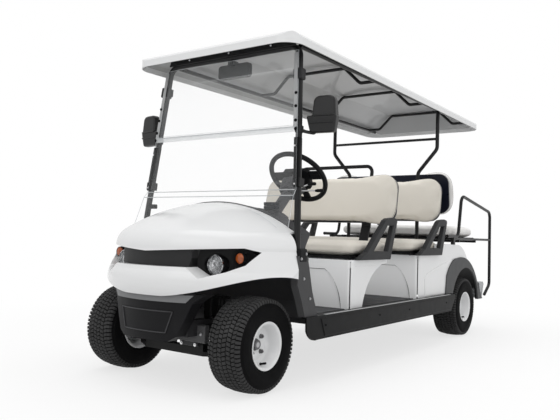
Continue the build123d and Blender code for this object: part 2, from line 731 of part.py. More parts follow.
def dash():
    """Dash moulding: crowned like the hood, hollow in front, with two open pockets."""
    y0 = COWL_REAR_Y + GAP
    profile = closed([(y0, 640), (y0, 960), (250, 960), (DASH_REAR_Y, 830), (DASH_REAR_Y, 770), (300, 700), (292, 640)])
    crown = Pos(0, 0, CREST_Z - CROWN_R) * Rot(90, 0, 0) * Cylinder(CROWN_R - 6, 1200)
    body = side_cut(profile, -528, 528) & crown
    hollow_profile = offset(profile, amount=-8, kind=Kind.INTERSECTION)
    hollow = side_cut(hollow_profile, -520, 520) & (Pos(0, 0, CREST_Z - CROWN_R) * Rot(90, 0, 0) * Cylinder(CROWN_R - 14, 1200))
    body -= hollow
    body -= block(-500, 500, y0 - 20, y0 + 30, 655, 780)
    # instrument pod round the steering column
    pod = closed([(276, 926), (330, 918), (372, 850), (372, 832), (330, 812), (276, 812)])
    body += side_cut(pod, STEER_X - 80, STEER_X + 80)
    pocket = block(-450, -150, 318, 400, 740, 815)
    body -= pocket
    body -= rod(along_column(150), along_column(500), COLUMN_R + GAP)
    return body.solids().sort_by(SortBy.VOLUME)[-1]


def steering_column():
    start = 42
    column = rod(along_column(start), along_column(start + COLUMN_L), COLUMN_R)
    cover = rod(along_column(start), along_column(start + 90), COLUMN_R + 14)
    stub = rod(along_column(6), along_column(start + 1), 9)
    stalk = rod((STEER_X - 40, along_column(70)[1], along_column(70)[2]),
                (STEER_X - 135, along_column(40)[1], along_column(40)[2]), 7)
    return column + cover + stub + stalk


def steering_wheel():
    grip = Torus(WHEEL_R, WHEEL_GRIP_R)
    hub = Pos(0, 0, -10) * Cylinder(34, 44)
    pad = Pos(0, 12, 4) * Box(118, 96, 20)
    pad = fillet(pad.edges().filter_by(Axis.Z), 18)
    wheel = grip + hub + pad
    spokes = ((0, 34), (180, 34), (90, 40))
    for turn, width in spokes:
        arm = Pos((WHEEL_R + 30) / 2, 0, 0) * Box(WHEEL_R - 30, width, 10)
        wheel += Rot(0, 0, turn) * arm
    wheel -= Pos(0, 0, -40) * Cylinder(9 + PIN_GAP, 70)
    place = Plane(origin=(STEER_X, STEER_Y, STEER_Z), x_dir=(1, 0, 0), z_dir=-COLUMN_DIR)
    return place * wheel


def pedals():
    """Brake and accelerator, hung on one bracket against the toe board."""
    out = None
    foot_y = FLOOR_FRONT_Y + 9
    for x, width in ((170, 90), (330, 60)):
        lever = block(x - 8, x + 8, foot_y + GAP, foot_y + 70, 520, 540)
        lever += rod((x, foot_y + 62, 530), (x, foot_y + 100, 440), 7)
        pad = Pos(x, foot_y + 104, 432) * Rot(-25, 0, 0) * Box(width, 14, 70)
        pedal = lever + pad
        out = pedal if out is None else out + pedal
    return out + block(150, 345, foot_y + GAP, foot_y + 14, 505, 555)


def cabin_front():
    save("dash", dash())
    save("steering_column", steering_column())
    save("steering_wheel", steering_wheel())
    save("pedals", pedals())


# ---------------------------------------------------------------- pillars, screen and roof
PILLAR_PLANE = Plane(origin=(0, PILLAR_FOOT_Y, PILLAR_FOOT_Z), x_dir=(1, 0, 0),
                     z_dir=(0, -math.cos(LEAN), math.sin(LEAN)))


def pillar_y(z):
    """Centre of the leaning pillar at a height."""
    return PILLAR_FOOT_Y + (z - PILLAR_FOOT_Z) * math.tan(LEAN)


def front_pillars():
    """One bent tube: left pillar, top bar and right pillar, with the screen clamps."""
    top = (PILLAR_TOP_Z - PILLAR_FOOT_Z) / math.cos(LEAN)
    path = [(PILLAR_FOOT_X, 0), (PILLAR_TOP_X, top), (-PILLAR_TOP_X, top), (-PILLAR_FOOT_X, 0)]
    line = FilletPolyline(*path, radius=PILLAR_BEND)
    local = Plane(origin=line @ 0, z_dir=line % 0)
    tube = sweep(local * Circle(PILLAR_R), path=line)
    clamp = (PILLAR_R + SCREEN_LEAD) * math.cos(LEAN) - GAP
    for z in (1020, 1590):
        up = (z - PILLAR_FOOT_Z) / math.cos(LEAN)
        x = PILLAR_FOOT_X + (PILLAR_TOP_X - PILLAR_FOOT_X) * up / top
        for side in (1, -1):
            tube += Pos(side * x, up, 0) * Box(2 * PILLAR_R + 12, 44, 2 * clamp)
    frame = PILLAR_PLANE * tube
    # pads between the top bar and the roof
    y = pillar_y(PILLAR_TOP_Z)
    pads = block(280, 320, y - 12, y + 12, PILLAR_TOP_Z, PILLAR_TOP_Z + 90)
    pads += flip(pads)
    return frame + (pads & roof_place(roof_solid(ROOF_WALL + GAP)))


def screen_profile(z_low, z_high):
    """Section of the flat part of the screen, just ahead of the pillars."""
    ahead = PILLAR_R + SCREEN_LEAD
    return [(pillar_y(z_low) - ahead - SCREEN_T, z_low), (pillar_y(z_low) - ahead, z_low),
            (pillar_y(z_high) - ahead, z_high), (pillar_y(z_high) - ahead - SCREEN_T, z_high)]


def screen_outline(low_half, high_half, z_low, z_high):
    return closed([(-low_half, z_low), (low_half, z_low), (high_half, z_high), (-high_half, z_high)])


def windscreen_lower():
    ahead = PILLAR_R + SCREEN_LEAD
    top_y = pillar_y(SCREEN_SPLIT_Z) - ahead
    jog_y = pillar_y(SCREEN_JOG_TOP) - ahead
    low_y = pillar_y(SCREEN_JOG_LOW) - ahead - SCREEN_JOG
    profile = closed([
        (top_y, SCREEN_SPLIT_Z - GAP), (jog_y, SCREEN_JOG_TOP), (low_y, SCREEN_JOG_LOW), (SCREEN_FOOT_Y, SCREEN_FOOT_Z),
        (SCREEN_FOOT_Y - SCREEN_T, SCREEN_FOOT_Z), (low_y - SCREEN_T, SCREEN_JOG_LOW),
        (jog_y - SCREEN_T, SCREEN_JOG_TOP), (top_y - SCREEN_T, SCREEN_SPLIT_Z - GAP),
    ])
    sheet = side_cut(profile, -600, 600)
    sheet &= front_cut(screen_outline(548, 508, SCREEN_FOOT_Z, SCREEN_SPLIT_Z), -200, 500)
    sheet -= cowl_solid(-4)
    return sheet.solids().sort_by(SortBy.VOLUME)[-1]


def windscreen_upper():
    sheet = side_cut(closed(screen_profile(SCREEN_SPLIT_Z, SCREEN_TOP_Z)), -600, 600)
    sheet &= front_cut(screen_outline(508, 476, SCREEN_SPLIT_Z, SCREEN_TOP_Z), -200, 500)
    y = pillar_y(SCREEN_SPLIT_Z) - PILLAR_R - SCREEN_LEAD
    strip = block(-500, 500, y - 2 * SCREEN_T - 2, y - SCREEN_T + 1, SCREEN_SPLIT_Z, SCREEN_SPLIT_Z + 14)
    return sheet + strip


def roof_place(shape):
    """Tilt a roof piece, drawn level with its rim at zero, and lift it to its height."""
    return Pos(0, ROOF_FRONT_Y, ROOF_RIM_Z) * Rot(-ROOF_DROP, 0, 0) * shape


def roof_section(half, inset):
    """Section across the roof: upright rim, rolled edge, steep flank and crowned top."""
    side = half - inset
    right = [(side, -inset), (side, ROOF_RIM_H - inset), (side - ROOF_ROLL, ROOF_RIM_H + ROOF_ROLL - inset),
             (ROOF_FLANK_X, ROOF_FLANK_H - inset), (ROOF_RIDGE_X, ROOF_RIDGE_H - inset)]
    left = [(-x, z) for x, z in reversed(right)]
    edge = Curve() + [
        Polyline(*right),
        ThreePointArc(right[-1], (0, ROOF_CROWN_H - inset), left[0]),
        Polyline(*left),
        Line(left[-1], right[0]),
    ]
    return make_face(edge)


def roof_solid(inset):
    """The roof's form, drawn with its rim at zero; it narrows a little towards the rear."""
    length = ROOF_REAR_Y - ROOF_FRONT_Y
    front = Plane.XZ.offset(-inset) * roof_section(ROOF_FRONT_HALF, inset)
    rear = Plane.XZ.offset(inset - length) * roof_section(ROOF_REAR_HALF, inset)
    across = loft([front, rear], ruled=True)
    rim = ROOF_RIM_H - inset
    crown = ROOF_CROWN_H - inset
    ends = closed([
        (inset, -inset), (length - inset, -inset), (length - inset, rim), (length - 18 - inset, rim + 20),
        (length - 100, crown - 20), (length - 260, crown + 1), (700, crown + 1), (230, rim + 68), (22 + inset, rim + 18),
        (inset, rim),
    ])
    along = side_cut(ends, -ROOF_FRONT_HALF, ROOF_FRONT_HALF)
    corners = [(-ROOF_FRONT_HALF + inset, inset), (ROOF_FRONT_HALF - inset, inset),
               (ROOF_REAR_HALF - inset, length - inset), (-ROOF_REAR_HALF + inset, length - inset)]
    plan = fillet(closed(corners).vertices(), ROOF_CORNER_R - inset)
    upright = Pos(0, 0, -inset) * extrude(plan, amount=ROOF_CROWN_H + 20)
    return across & along & upright


def roof_shell():
    return roof_place(roof_solid(0) - roof_solid(ROOF_WALL))


def roof_frame():
    """Two side tubes and three hoops that rise into the crown of the roof."""
    front = pillar_y(PILLAR_TOP_Z) + PILLAR_R - ROOF_FRONT_Y + GAP
    rear = ROOF_REAR_Y - ROOF_FRONT_Y - 60
    z = SIDE_TUBE_RISE
    left = rod((SIDE_TUBE_X, front, z), (SIDE_TUBE_X, rear, z), SIDE_TUBE_R)
    frame = left + flip(left)
    for hoop_y in HOOP_Y:
        y = hoop_y - ROOF_FRONT_Y
        points = [(-SIDE_TUBE_X, z), (-HOOP_LOW_X, z), (-HOOP_HIGH_X, HOOP_RISE), (HOOP_HIGH_X, HOOP_RISE),
                  (HOOP_LOW_X, z), (SIDE_TUBE_X, z)]
        line = FilletPolyline(*points, radius=40)
        local = Plane(origin=line @ 0, z_dir=line % 0)
        hoop = sweep(local * Circle(HOOP_R), path=line)
        frame += Plane(origin=(0, y, 0), x_dir=(1, 0, 0), z_dir=(0, -1, 0)) * hoop
    return roof_place(frame)


def side_tube_z(y):
    """Height of the side tube's axis above a place along the cart."""
    return ROOF_RIM_Z + SIDE_TUBE_RISE - (y - ROOF_FRONT_Y) * math.tan(math.radians(ROOF_DROP))


def rear_struts():
    """Two cranked posts between the seat backs, their tie bar and the seat back brackets."""
    y = STRUT_POST_Y
    top = side_tube_z(y) - SIDE_TUBE_R - GAP
    foot = REAR_BODY_TOP + GAP
    points = [(SIDE_TUBE_X, y, top), (SIDE_TUBE_X, y, POST_BEND_TOP_Z), (POST_LOW_X, y, POST_BEND_LOW_Z), (POST_LOW_X, y, foot)]
    post = bent_tube(points, 60, POST_R)
    post += block(POST_LOW_X - 45, POST_LOW_X + 45, y - 20, y + 110, foot, foot + 8)
    # arms that reach the shells of the backs before and behind
    tilt = math.tan(math.radians(BACK_TILT))
    thick = (BACK_T + GAP + BACK_SHELL_T) / math.cos(math.radians(BACK_TILT))
    for z in (960, 1130):
        front_y = MIDDLE_BACK_Y + thick + (z + 14 - MIDDLE_BACK_Z) * tilt + GAP
        rear_y = REAR_BACK_Y - thick - (z + 14 - REAR_BACK_Z) * tilt - GAP
        post += block(POST_LOW_X - 22, POST_LOW_X + 22, front_y, rear_y, z - 14, z + 14)
    bar = rod((-SIDE_TUBE_X, y, POST_TIE_Z), (SIDE_TUBE_X, y, POST_TIE_Z), 10)
    return post + flip(post) + bar


def mirror_unit():
    """Left door mirror: a narrow upper glass over a wide lower one, on a short arm."""
    lower = block(-80, 86, -26, 26, 0, 86)
    upper = block(-50, 82, -24, 24, 80, 188)
    body = fillet(lower.edges().filter_by(Axis.Y), 18) + fillet(upper.edges().filter_by(Axis.Y), 20)
    body = Pos(MIRROR_X, MIRROR_Y, MIRROR_Z) * Rot(0, 0, 8) * body
    z = MIRROR_Z + 20
    half = 22
    centre = PILLAR_FOOT_X + (PILLAR_TOP_X - PILLAR_FOOT_X) * (z - half - PILLAR_FOOT_Z) / (PILLAR_TOP_Z - PILLAR_FOOT_Z)
    side = centre + PILLAR_R / math.cos(math.atan2(PILLAR_FOOT_X - PILLAR_TOP_X, PILLAR_TOP_Z - PILLAR_FOOT_Z)) + GAP
    y = pillar_y(z)
    pad = block(side, side + 8, y - 16, y + 16, z - half, z + half)
    arm = rod((side + 4, y, z), (MIRROR_X - 50, MIRROR_Y, z), 9)
    return body + arm + pad


def interior_mirror():
    y = pillar_y(PILLAR_TOP_Z) + 34
    glass = block(-113, 113, y - 12, y + 12, 1632, 1712)
    glass = fillet(glass.edges().filter_by(Axis.Y), 20)
    stem = block(-16, 16, y - 34 - 10, y + 8, 1700, PILLAR_TOP_Z - PILLAR_R - GAP)
    return glass + stem


def upper_works():
    save("front_pillars", front_pillars())
    save("windscreen_lower", windscreen_lower())
    save("windscreen_upper", windscreen_upper())
    save("roof_shell", roof_shell())
    save("roof_frame", roof_frame())
    save("rear_struts", rear_struts())
    save("side_mirrors", both(mirror_unit()))
    save("interior_mirror", interior_mirror())


# ---------------------------------------------------------------- bodies under the seats
def leg_arch(y0, y1, grow=0.0):
    """Arched panel in the front of a seat base, between two depths."""
    foot = FLOOR_TOP + GAP
    outline = Curve() + [
        Line((-484 - grow, foot), (484 + grow, foot)),
        ThreePointArc((484 + grow, foot), (448 + grow, 480), (372 + grow, 566 + grow)),
        Line((372 + grow, 566 + grow), (-372 - grow, 566 + grow)),
        ThreePointArc((-372 - grow, 566 + grow), (-448 - grow, 480), (-484 - grow, foot)),
    ]
    return front_cut(make_face(outline), y0, y1)


def sink_leg_arch(shell, y):
    """Press the arched panel inwards and keep a wall behind it."""
    shell += leg_arch(y + LEG_RECESS, y + LEG_RECESS + BODY_WALL, BODY_WALL)
    return shell - leg_arch(y - 1, y + LEG_RECESS)


def front_base_profile(inset):
    """Side view of the front seat base: upright front, tail swept in to the floor."""
    front = FRONT_BASE_Y + inset
    foot = FRONT_BASE_FOOT_Y - inset
    rear = FRONT_BASE_REAR_Y - inset
    top = BASE_TOP - inset
    low = FLOOR_TOP + GAP - inset
    tail = BASE_TOP - 20 - inset
    outline = Curve() + [
        Line((front, low), (front, top)),
        Line((front, top), (rear, top)),
        Line((rear, top), (rear, tail)),
        ThreePointArc((rear, tail), (foot + 62, 470), (foot, low)),
        Line((foot, low), (front, low)),
    ]
    return make_face(outline)


def front_seat_base():
    outer = side_cut(front_base_profile(0), -BASE_HALF_W, BASE_HALF_W)
    corners = outer.edges().filter_by(Axis.Z).sort_by(Axis.Y)[:2]
    outer = fillet(corners, 28)
    inner = side_cut(front_base_profile(BODY_WALL), -BASE_HALF_W + BODY_WALL, BASE_HALF_W - BODY_WALL)
    shell = sink_leg_arch(outer - inner, FRONT_BASE_Y)
    # pressed line below the rolled top edge
    for side in (1, -1):
        shell -= block(side * BASE_HALF_W - 2, side * BASE_HALF_W + 2, FRONT_BASE_Y + 40, 1165, 586, 591)
    shell -= block(-420, 420, FRONT_BASE_Y + 70, FRONT_BASE_REAR_Y - 90, BASE_TOP - 60, BASE_TOP + 1)
    return shell


def flare_outline():
    """Outer edge of the black rear arch, in (Y, Z)."""
    foot = SILL_TOP + GAP
    edge = Curve() + [
        Line((2164, foot), (2180, 480)),
        ThreePointArc((2180, 480), (2262, 570), (2413, 612)),
        ThreePointArc((2413, 612), (2655, 585), (2855, 415)),
        Line((2855, 415), (2990, 268)),
        Line((2990, 268), (2300, 268)),
        Line((2300, 268), (2300, foot)),
        Line((2300, foot), (2164, foot)),
    ]
    return make_face(edge)


def wheel_arch(radius, x0, x1):
    centre = Pos(0, WHEELBASE + 12, TYRE_R + 12)
    return centre * rod((x0, 0, 0), (x1, 0, 0), radius)


def fender_flare():
    """Left rear arch: a wide outer lip and the liner over the wheel."""
    lip = side_cut(flare_outline(), BASE_HALF_W - 12, FLARE_OUT_X)
    lip -= wheel_arch(WHEEL_ARCH_R, 300, 700)
    liner = wheel_arch(WHEEL_ARCH_R + 6, 352, BASE_HALF_W) - wheel_arch(WHEEL_ARCH_R, 300, 700)
    liner &= block(300, 600, 2200, 3000, 360, 700)
    return lip + liner


def rear_body_profile(inset):
    """Side view of the rear body: seat front, raised deck and rounded tail."""
    front = REAR_BODY_Y + inset
    low = FLOOR_TOP + GAP
    top = REAR_BODY_TOP - inset
    tail = REAR_BODY_TAIL_Y - inset
    outline = Curve() + [
        Line((front, low), (front, top)),
        Line((front, top), (2400, top)),
        ThreePointArc((2400, top), (2590 - inset, 650 - inset), (tail, 500)),
        Line((tail, 500), (tail, low)),
        Line((tail, low), (front, low)),
    ]
    return make_face(outline)


def body_swage():
    """Raised field on the left side of the rear body, with bevelled edges."""
    field = closed([(1800, 352), (1783, 480), (1828, 512), (2092, 572), (2300, 600), (2300, 352)])
    raised = side_cut(field, BASE_HALF_W - 1, BASE_HALF_W + SWAGE_H)
    return chamfer(raised.faces().sort_by(Axis.X)[-1].edges(), SWAGE_H - 0.5)


def rear_body():
    outer = side_cut(rear_body_profile(0), -BASE_HALF_W, BASE_HALF_W)
    corners = outer.edges().filter_by(Axis.Z).sort_by(Axis.Y)[:2]
    outer = fillet(corners, 28)
    step = block(-700, 700, REAR_BODY_Y - 50, 1990, BASE_TOP + 18, 900)
    seat = block(-CUSHION_HALF_W - 8, CUSHION_HALF_W + 8, 1900, MIDDLE_CUSHION_Y + MIDDLE_CUSHION_DEPTH + 40, BASE_TOP + 18, 900)
    outer -= step + seat
    inner = side_cut(rear_body_profile(BODY_WALL), -BASE_HALF_W + BODY_WALL, BASE_HALF_W - BODY_WALL)
    inner -= block(-700, 700, REAR_BODY_Y - 50, MIDDLE_CUSHION_Y + MIDDLE_CUSHION_DEPTH + 46, BASE_TOP + 12, 900)
    # the sheet stands on the floor, and the hollow is open below it
    inner += block(-BASE_HALF_W + BODY_WALL, BASE_HALF_W - BODY_WALL, REAR_BODY_Y + BODY_WALL, REAR_BODY_TAIL_Y - BODY_WALL, 300, 360)
    shell = sink_leg_arch(outer - inner, REAR_BODY_Y)
    shell += body_swage() + flip(body_swage())
    # the tail stops above the frame rails
    shell -= block(-520, 520, REAR_BODY_TAIL_Y - 20, REAR_BODY_TAIL_Y + 10, 300, KICK_TOP + 10)
    shell -= block(-400, 400, REAR_BODY_Y + 70, MIDDLE_CUSHION_Y + MIDDLE_CUSHION_DEPTH - 70, BASE_TOP - 20, BASE_TOP + 19)
    grown = offset(flare_outline(), amount=GAP)
    for side in (1, -1):
        arch = side_cut(grown, 348, 700)
        arch += wheel_arch(WHEEL_ARCH_R + 6 + GAP, 348, 700)
        arch += block(348, 700, 2200, 3000, 200, 420)
        shell -= arch if side == 1 else flip(arch)
    return shell.solids().sort_by(SortBy.VOLUME)[-1]


def battery_pack():
    return block(-390, 390, REAR_BODY_Y + 40, 2050, FLOOR_TOP + GAP, 600)


def bodies():
    save("front_seat_base", front_seat_base())
    save("rear_body", rear_body())
    save("fender_flares", both(fender_flare()))
    save("battery_pack", battery_pack())


# ---------------------------------------------------------------- seats
def cushion(half_w, y0, depth, z0):
    pad = block(-half_w, half_w, y0, y0 + depth, z0, z0 + CUSHION_T)
    pad = fillet(pad.edges().filter_by(Axis.Z), 45)
    return fillet(pad.faces().sort_by(Axis.Z)[-1].edges(), 22)


def seat_pan(y0, depth, z0):
    """Board under a cushion, bored in its front edge for the two hinge pins."""
    half = CUSHION_HALF_W - PAN_INSET
    board = block(-half, half, y0 + 1, y0 + depth - 10, z0, z0 + PAN_T - GAP)
    bore = rod((half - SEAT_PIN_L, y0 + SEAT_PIN_SET, z0 + PAN_T / 2), (half + 1, y0 + SEAT_PIN_SET, z0 + PAN_T / 2),
               SEAT_PIN_R + PIN_GAP)
    return board - bore - flip(bore)


def seat_hinge(y0, z0, reach):
    """Left bracket that stands on the seat base, reaches forward and holds a hinge pin."""
    half = CUSHION_HALF_W - PAN_INSET
    x0 = half + 3
    y = y0 + SEAT_PIN_SET
    foot = z0 - SWING_GAP + GAP
    plate = block(x0, x0 + 7, y - 7, y + 6, foot, z0 + PAN_T - 1)
    plate += block(x0, x0 + 7, y, y + 12 + reach, foot, z0 + 4)
    return plate + rod((half - SEAT_PIN_L + 2, y, z0 + PAN_T / 2), (x0 + 1, y, z0 + PAN_T / 2), SEAT_PIN_R)


def seat_back(y, z, facing):
    """A padded back and its shell, tilted away from the rider; facing -1 looks forward."""
    slab = RectangleRounded(2 * BACK_HALF_W, BACK_H, BACK_CORNER)
    pad = extrude(Plane.XZ * slab, amount=-BACK_T)
    pad = fillet(pad.faces().sort_by(Axis.Y)[0].edges(), 20)
    shell_face = RectangleRounded(2 * BACK_HALF_W - 20, BACK_H - 20, BACK_CORNER - 10)
    shell = extrude(Plane.XZ * shell_face, amount=-BACK_SHELL_T)
    shell = Pos(0, BACK_T + GAP, 0) * shell
    out = []
    for piece in (pad, shell):
        piece = Pos(0, 0, BACK_H / 2) * piece
        piece = Rot(-BACK_TILT, 0, 0) * piece
        if facing > 0:
            piece = mirror(piece, about=Plane.XZ)
        out.append(Pos(0, y, z) * piece)
    return out


def front_back_frame():
    """Legs from the seat base to the front back, and the grab rail behind it."""
    y = FRONT_BASE_REAR_Y + GAP
    low = BASE_TOP - 20
    back_y = FRONT_BACK_Y + (BACK_T + GAP + BACK_SHELL_T) / math.cos(math.radians(BACK_TILT)) + GAP
    tilt = math.tan(math.radians(BACK_TILT))
    top = FRONT_BACK_Z + BACK_H - 90
    rise = (top - FRONT_BACK_Z) * tilt
    bend = FRONT_CUSHION_Y + FRONT_CUSHION_DEPTH + 10
    out = None
    for side in (1, -1):
        x0 = side * 290 - 32
        x1 = side * 290 + 32
        path = closed([(y, low), (bend + 12, low), (back_y + 12, FRONT_BACK_Z - 20), (back_y + rise + 12, top),
                       (back_y + rise, top), (back_y, FRONT_BACK_Z), (back_y, FRONT_BACK_Z - 20), (bend, low + 12),
                       (y, low + 12)])
        leg = side_cut(path, x0, x1)
        out = leg if out is None else out + leg
    rail_y = back_y + rise + 45
    points = [(290, back_y + rise + 12, top - 40), (290, rail_y, 1240), (-290, rail_y, 1240),
              (-290, back_y + rise + 12, top - 40)]
    return out + bent_tube(points, 45, 12)


def armrest(y, z):
    """Left hip guard: a leaning loop on a tab that bolts to the top of the seat base."""
    outer = closed([(0, 0), (44, 26), (92, 46), (318, 238), (352, 252), (440, 260), (480, 254), (488, 236),
                    (402, 0)])
    inner = closed([(178, 50), (356, 50), (428, 208), (362, 208), (352, 203)])
    shape = Pos(y, z) * (outer - inner)
    loop = side_cut(shape, ARMREST_IN_X + 18, ARMREST_IN_X + 18 + ARMREST_T)
    loop = chamfer(loop.faces().sort_by(Axis.X)[-1].edges(), 5)
    tab = block(ARMREST_IN_X, ARMREST_IN_X + 20, y + 30, min(y + 380, ARMREST_REAR_Y), z, z + ARMREST_TAB_T)
    return loop + tab


def seats():
    pan_z = BASE_TOP + SWING_GAP
    middle_z = BASE_TOP + 18 + SWING_GAP
    save("front_seat_pan", seat_pan(FRONT_CUSHION_Y, FRONT_CUSHION_DEPTH, pan_z))
    save("front_cushion", cushion(CUSHION_HALF_W, FRONT_CUSHION_Y, FRONT_CUSHION_DEPTH, pan_z + PAN_T))
    save("middle_seat_pan", seat_pan(MIDDLE_CUSHION_Y, MIDDLE_CUSHION_DEPTH, middle_z))
    save("middle_cushion", cushion(CUSHION_HALF_W, MIDDLE_CUSHION_Y, MIDDLE_CUSHION_DEPTH, middle_z + PAN_T))
    hinges = [seat_hinge(FRONT_CUSHION_Y, pan_z, 0),
              seat_hinge(MIDDLE_CUSHION_Y, middle_z, REAR_BODY_Y - MIDDLE_CUSHION_Y + 20)]
    save("seat_hinges", Compound(children=hinges + [flip(piece) for piece in hinges]))
    # name, y, z, facing
    rows = (("front", FRONT_BACK_Y, FRONT_BACK_Z, -1), ("middle", MIDDLE_BACK_Y, MIDDLE_BACK_Z, -1),
            ("rear", REAR_BACK_Y, REAR_BACK_Z, 1))
    shells = []
    for name, y, z, facing in rows:
        pad, shell = seat_back(y, z, facing)
        save(f"{name}_backrest", pad)
        shells.append(shell)
    save("back_shells", Compound(children=shells))
    save("front_back_frame", front_back_frame())
    left = [armrest(FRONT_BASE_Y + 43, BASE_TOP + GAP), armrest(FRONT_BASE_Y + 885, BASE_TOP + 18 + GAP)]
    save("armrests", Compound(children=left + [flip(piece) for piece in left]))


# ---------------------------------------------------------------- rear seat, guard and step
HINGE_Y = REAR_CUSHION_Y + REAR_CUSHION_DEPTH + 15
HINGE_Z = REAR_HINGE_Z


def guard_frame():
    """Rear grab loops, the bars that carry the rear seat and the step brackets."""
    x = GUARD_X
    # a rising loop with an S-shaped front foot and a tail that turns in under the step
    loop = [(x, 2210, 778), (x, 2440, 778), (x, 2503, 1104), (x, 3205, 1000), (x, GUARD_REAR_Y, 372), (x, 3090, 292)]
    path = FilletPolyline(*loop, radius=GUARD_BENDS)
    left = sweep(Plane(origin=path @ 0, z_dir=path % 0) * Circle(GUARD_R), path=path)
    left += rod((x, 2334, GUARD_BAR_Z), (x, GUARD_REAR_Y - GUARD_R, GUARD_BAR_Z), GUARD_BAR_R)
    left += block(x - 12, x + 12, 2318, 2350, REAR_BODY_TOP + GAP, GUARD_BAR_Z + 20)
    left += rod((REAR_CUSHION_HALF_W - DECK_PIN_L, HINGE_Y, HINGE_Z), (x, HINGE_Y, HINGE_Z), DECK_PIN_R)
    frame = left + flip(left)
    cross_z = HINGE_Z - DECK_DROP - SWING_GAP - 10
    for y in (2450, 2820):
        for side in (1, -1):
            frame += block(side * x - 9, side * x + 9, y - 9, y + 9, cross_z - 9, GUARD_BAR_Z)
        frame += rod((-x, y, cross_z), (x, y, cross_z), 10)
    return frame


def rear_seat_deck():
    """Board under the rear cushion, with the tube that turns on the frame's two pins."""
    half = REAR_CUSHION_HALF_W
    low = HINGE_Z - DECK_DROP
    board = block(-half, half, REAR_CUSHION_Y + 6, HINGE_Y, low, REAR_CUSHION_Z - GAP)
    deck = board + rod((-half, HINGE_Y, HINGE_Z), (half, HINGE_Y, HINGE_Z), DECK_TUBE_R)
    bore = rod((half - DECK_PIN_L - 2, HINGE_Y, HINGE_Z), (half + 1, HINGE_Y, HINGE_Z), DECK_PIN_R + PIN_GAP)
    return deck - bore - flip(bore)


def footstep():
    """Checker plate step, folded down at the back, on two brackets from the frame."""
    plate = closed([(2968, STEP_TOP), (STEP_REAR_Y, STEP_TOP), (STEP_REAR_Y + 20, STEP_TOP - 20), (3060, 262), (3050, 262),
                    (STEP_REAR_Y + 8, STEP_TOP - 22), (STEP_REAR_Y - 4, STEP_TOP - 6), (2968, STEP_TOP - 6)])
    step = side_cut(plate, -STEP_HALF_W, STEP_HALF_W)
    gusset = closed([(2990, STEP_TOP - 2), (STEP_REAR_Y, STEP_TOP - 2), (STEP_REAR_Y + 18, STEP_TOP - 20), (3062, 270),
                     (3050, 270)])
    for side in (1, -1):
        step += side_cut(gusset, side * (STEP_HALF_W - 3) - 3, side * (STEP_HALF_W - 3) + 3)
    for side in (1, -1):
        rail = side * RAIL_X
        step += block(rail - 20, rail + 20, FRAME_REAR_Y - 35, STEP_REAR_Y - 10, STEP_TOP - 30, KICK_TOP - RAIL_H - GAP)
    return step


def rear_end():
    save("guard_frame", guard_frame())
    save("rear_seat_deck", rear_seat_deck())
    save("rear_cushion", cushion(REAR_CUSHION_HALF_W, REAR_CUSHION_Y, REAR_CUSHION_DEPTH, REAR_CUSHION_Z))
    save("footstep", footstep())


wheels()
chassis()
nose()
cabin_front()
upper_works()
bodies()
seats()
rear_end()
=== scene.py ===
import math
import bmesh
import bpy
from mathutils import Matrix, Vector


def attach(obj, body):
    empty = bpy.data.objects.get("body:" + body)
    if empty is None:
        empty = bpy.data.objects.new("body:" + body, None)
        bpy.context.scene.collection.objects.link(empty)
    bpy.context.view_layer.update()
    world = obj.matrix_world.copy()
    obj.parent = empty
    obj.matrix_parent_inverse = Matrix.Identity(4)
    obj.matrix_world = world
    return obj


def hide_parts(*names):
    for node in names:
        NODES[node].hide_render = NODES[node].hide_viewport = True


# Six-seat golf cart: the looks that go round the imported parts.
# +X is the cart's left, -Y is forward, Z is up from the ground; everything is in metres.

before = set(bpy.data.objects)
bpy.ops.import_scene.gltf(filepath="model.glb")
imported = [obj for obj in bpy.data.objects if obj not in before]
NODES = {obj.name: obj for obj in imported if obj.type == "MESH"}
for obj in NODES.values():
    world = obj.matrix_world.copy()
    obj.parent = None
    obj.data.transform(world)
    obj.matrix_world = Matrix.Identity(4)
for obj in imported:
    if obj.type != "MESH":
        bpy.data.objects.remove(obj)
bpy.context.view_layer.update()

# Lengths along the cart are measured from the front axle and moved by this much.
AXLE_TO_MIDDLE = -1.44425


# ---- shader nodes
def worked_out(operation, swapped=False):
    """A Value method that joins it with another value, which comes first where swapped."""
    if swapped:
        return lambda value, other: value.finish.sum(operation, other, value)
    return lambda value, other: value.finish.sum(operation, value, other)


class Value:
    """One output of a node, which can be used in sums."""

    def __init__(self, finish, socket):
        self.finish = finish
        self.socket = socket

    __add__, __radd__ = worked_out("ADD"), worked_out("ADD", True)
    __sub__, __rsub__ = worked_out("SUBTRACT"), worked_out("SUBTRACT", True)
    __mul__, __rmul__ = worked_out("MULTIPLY"), worked_out("MULTIPLY", True)

    def __abs__(self):
        return self.finish.sum("ABSOLUTE", self)


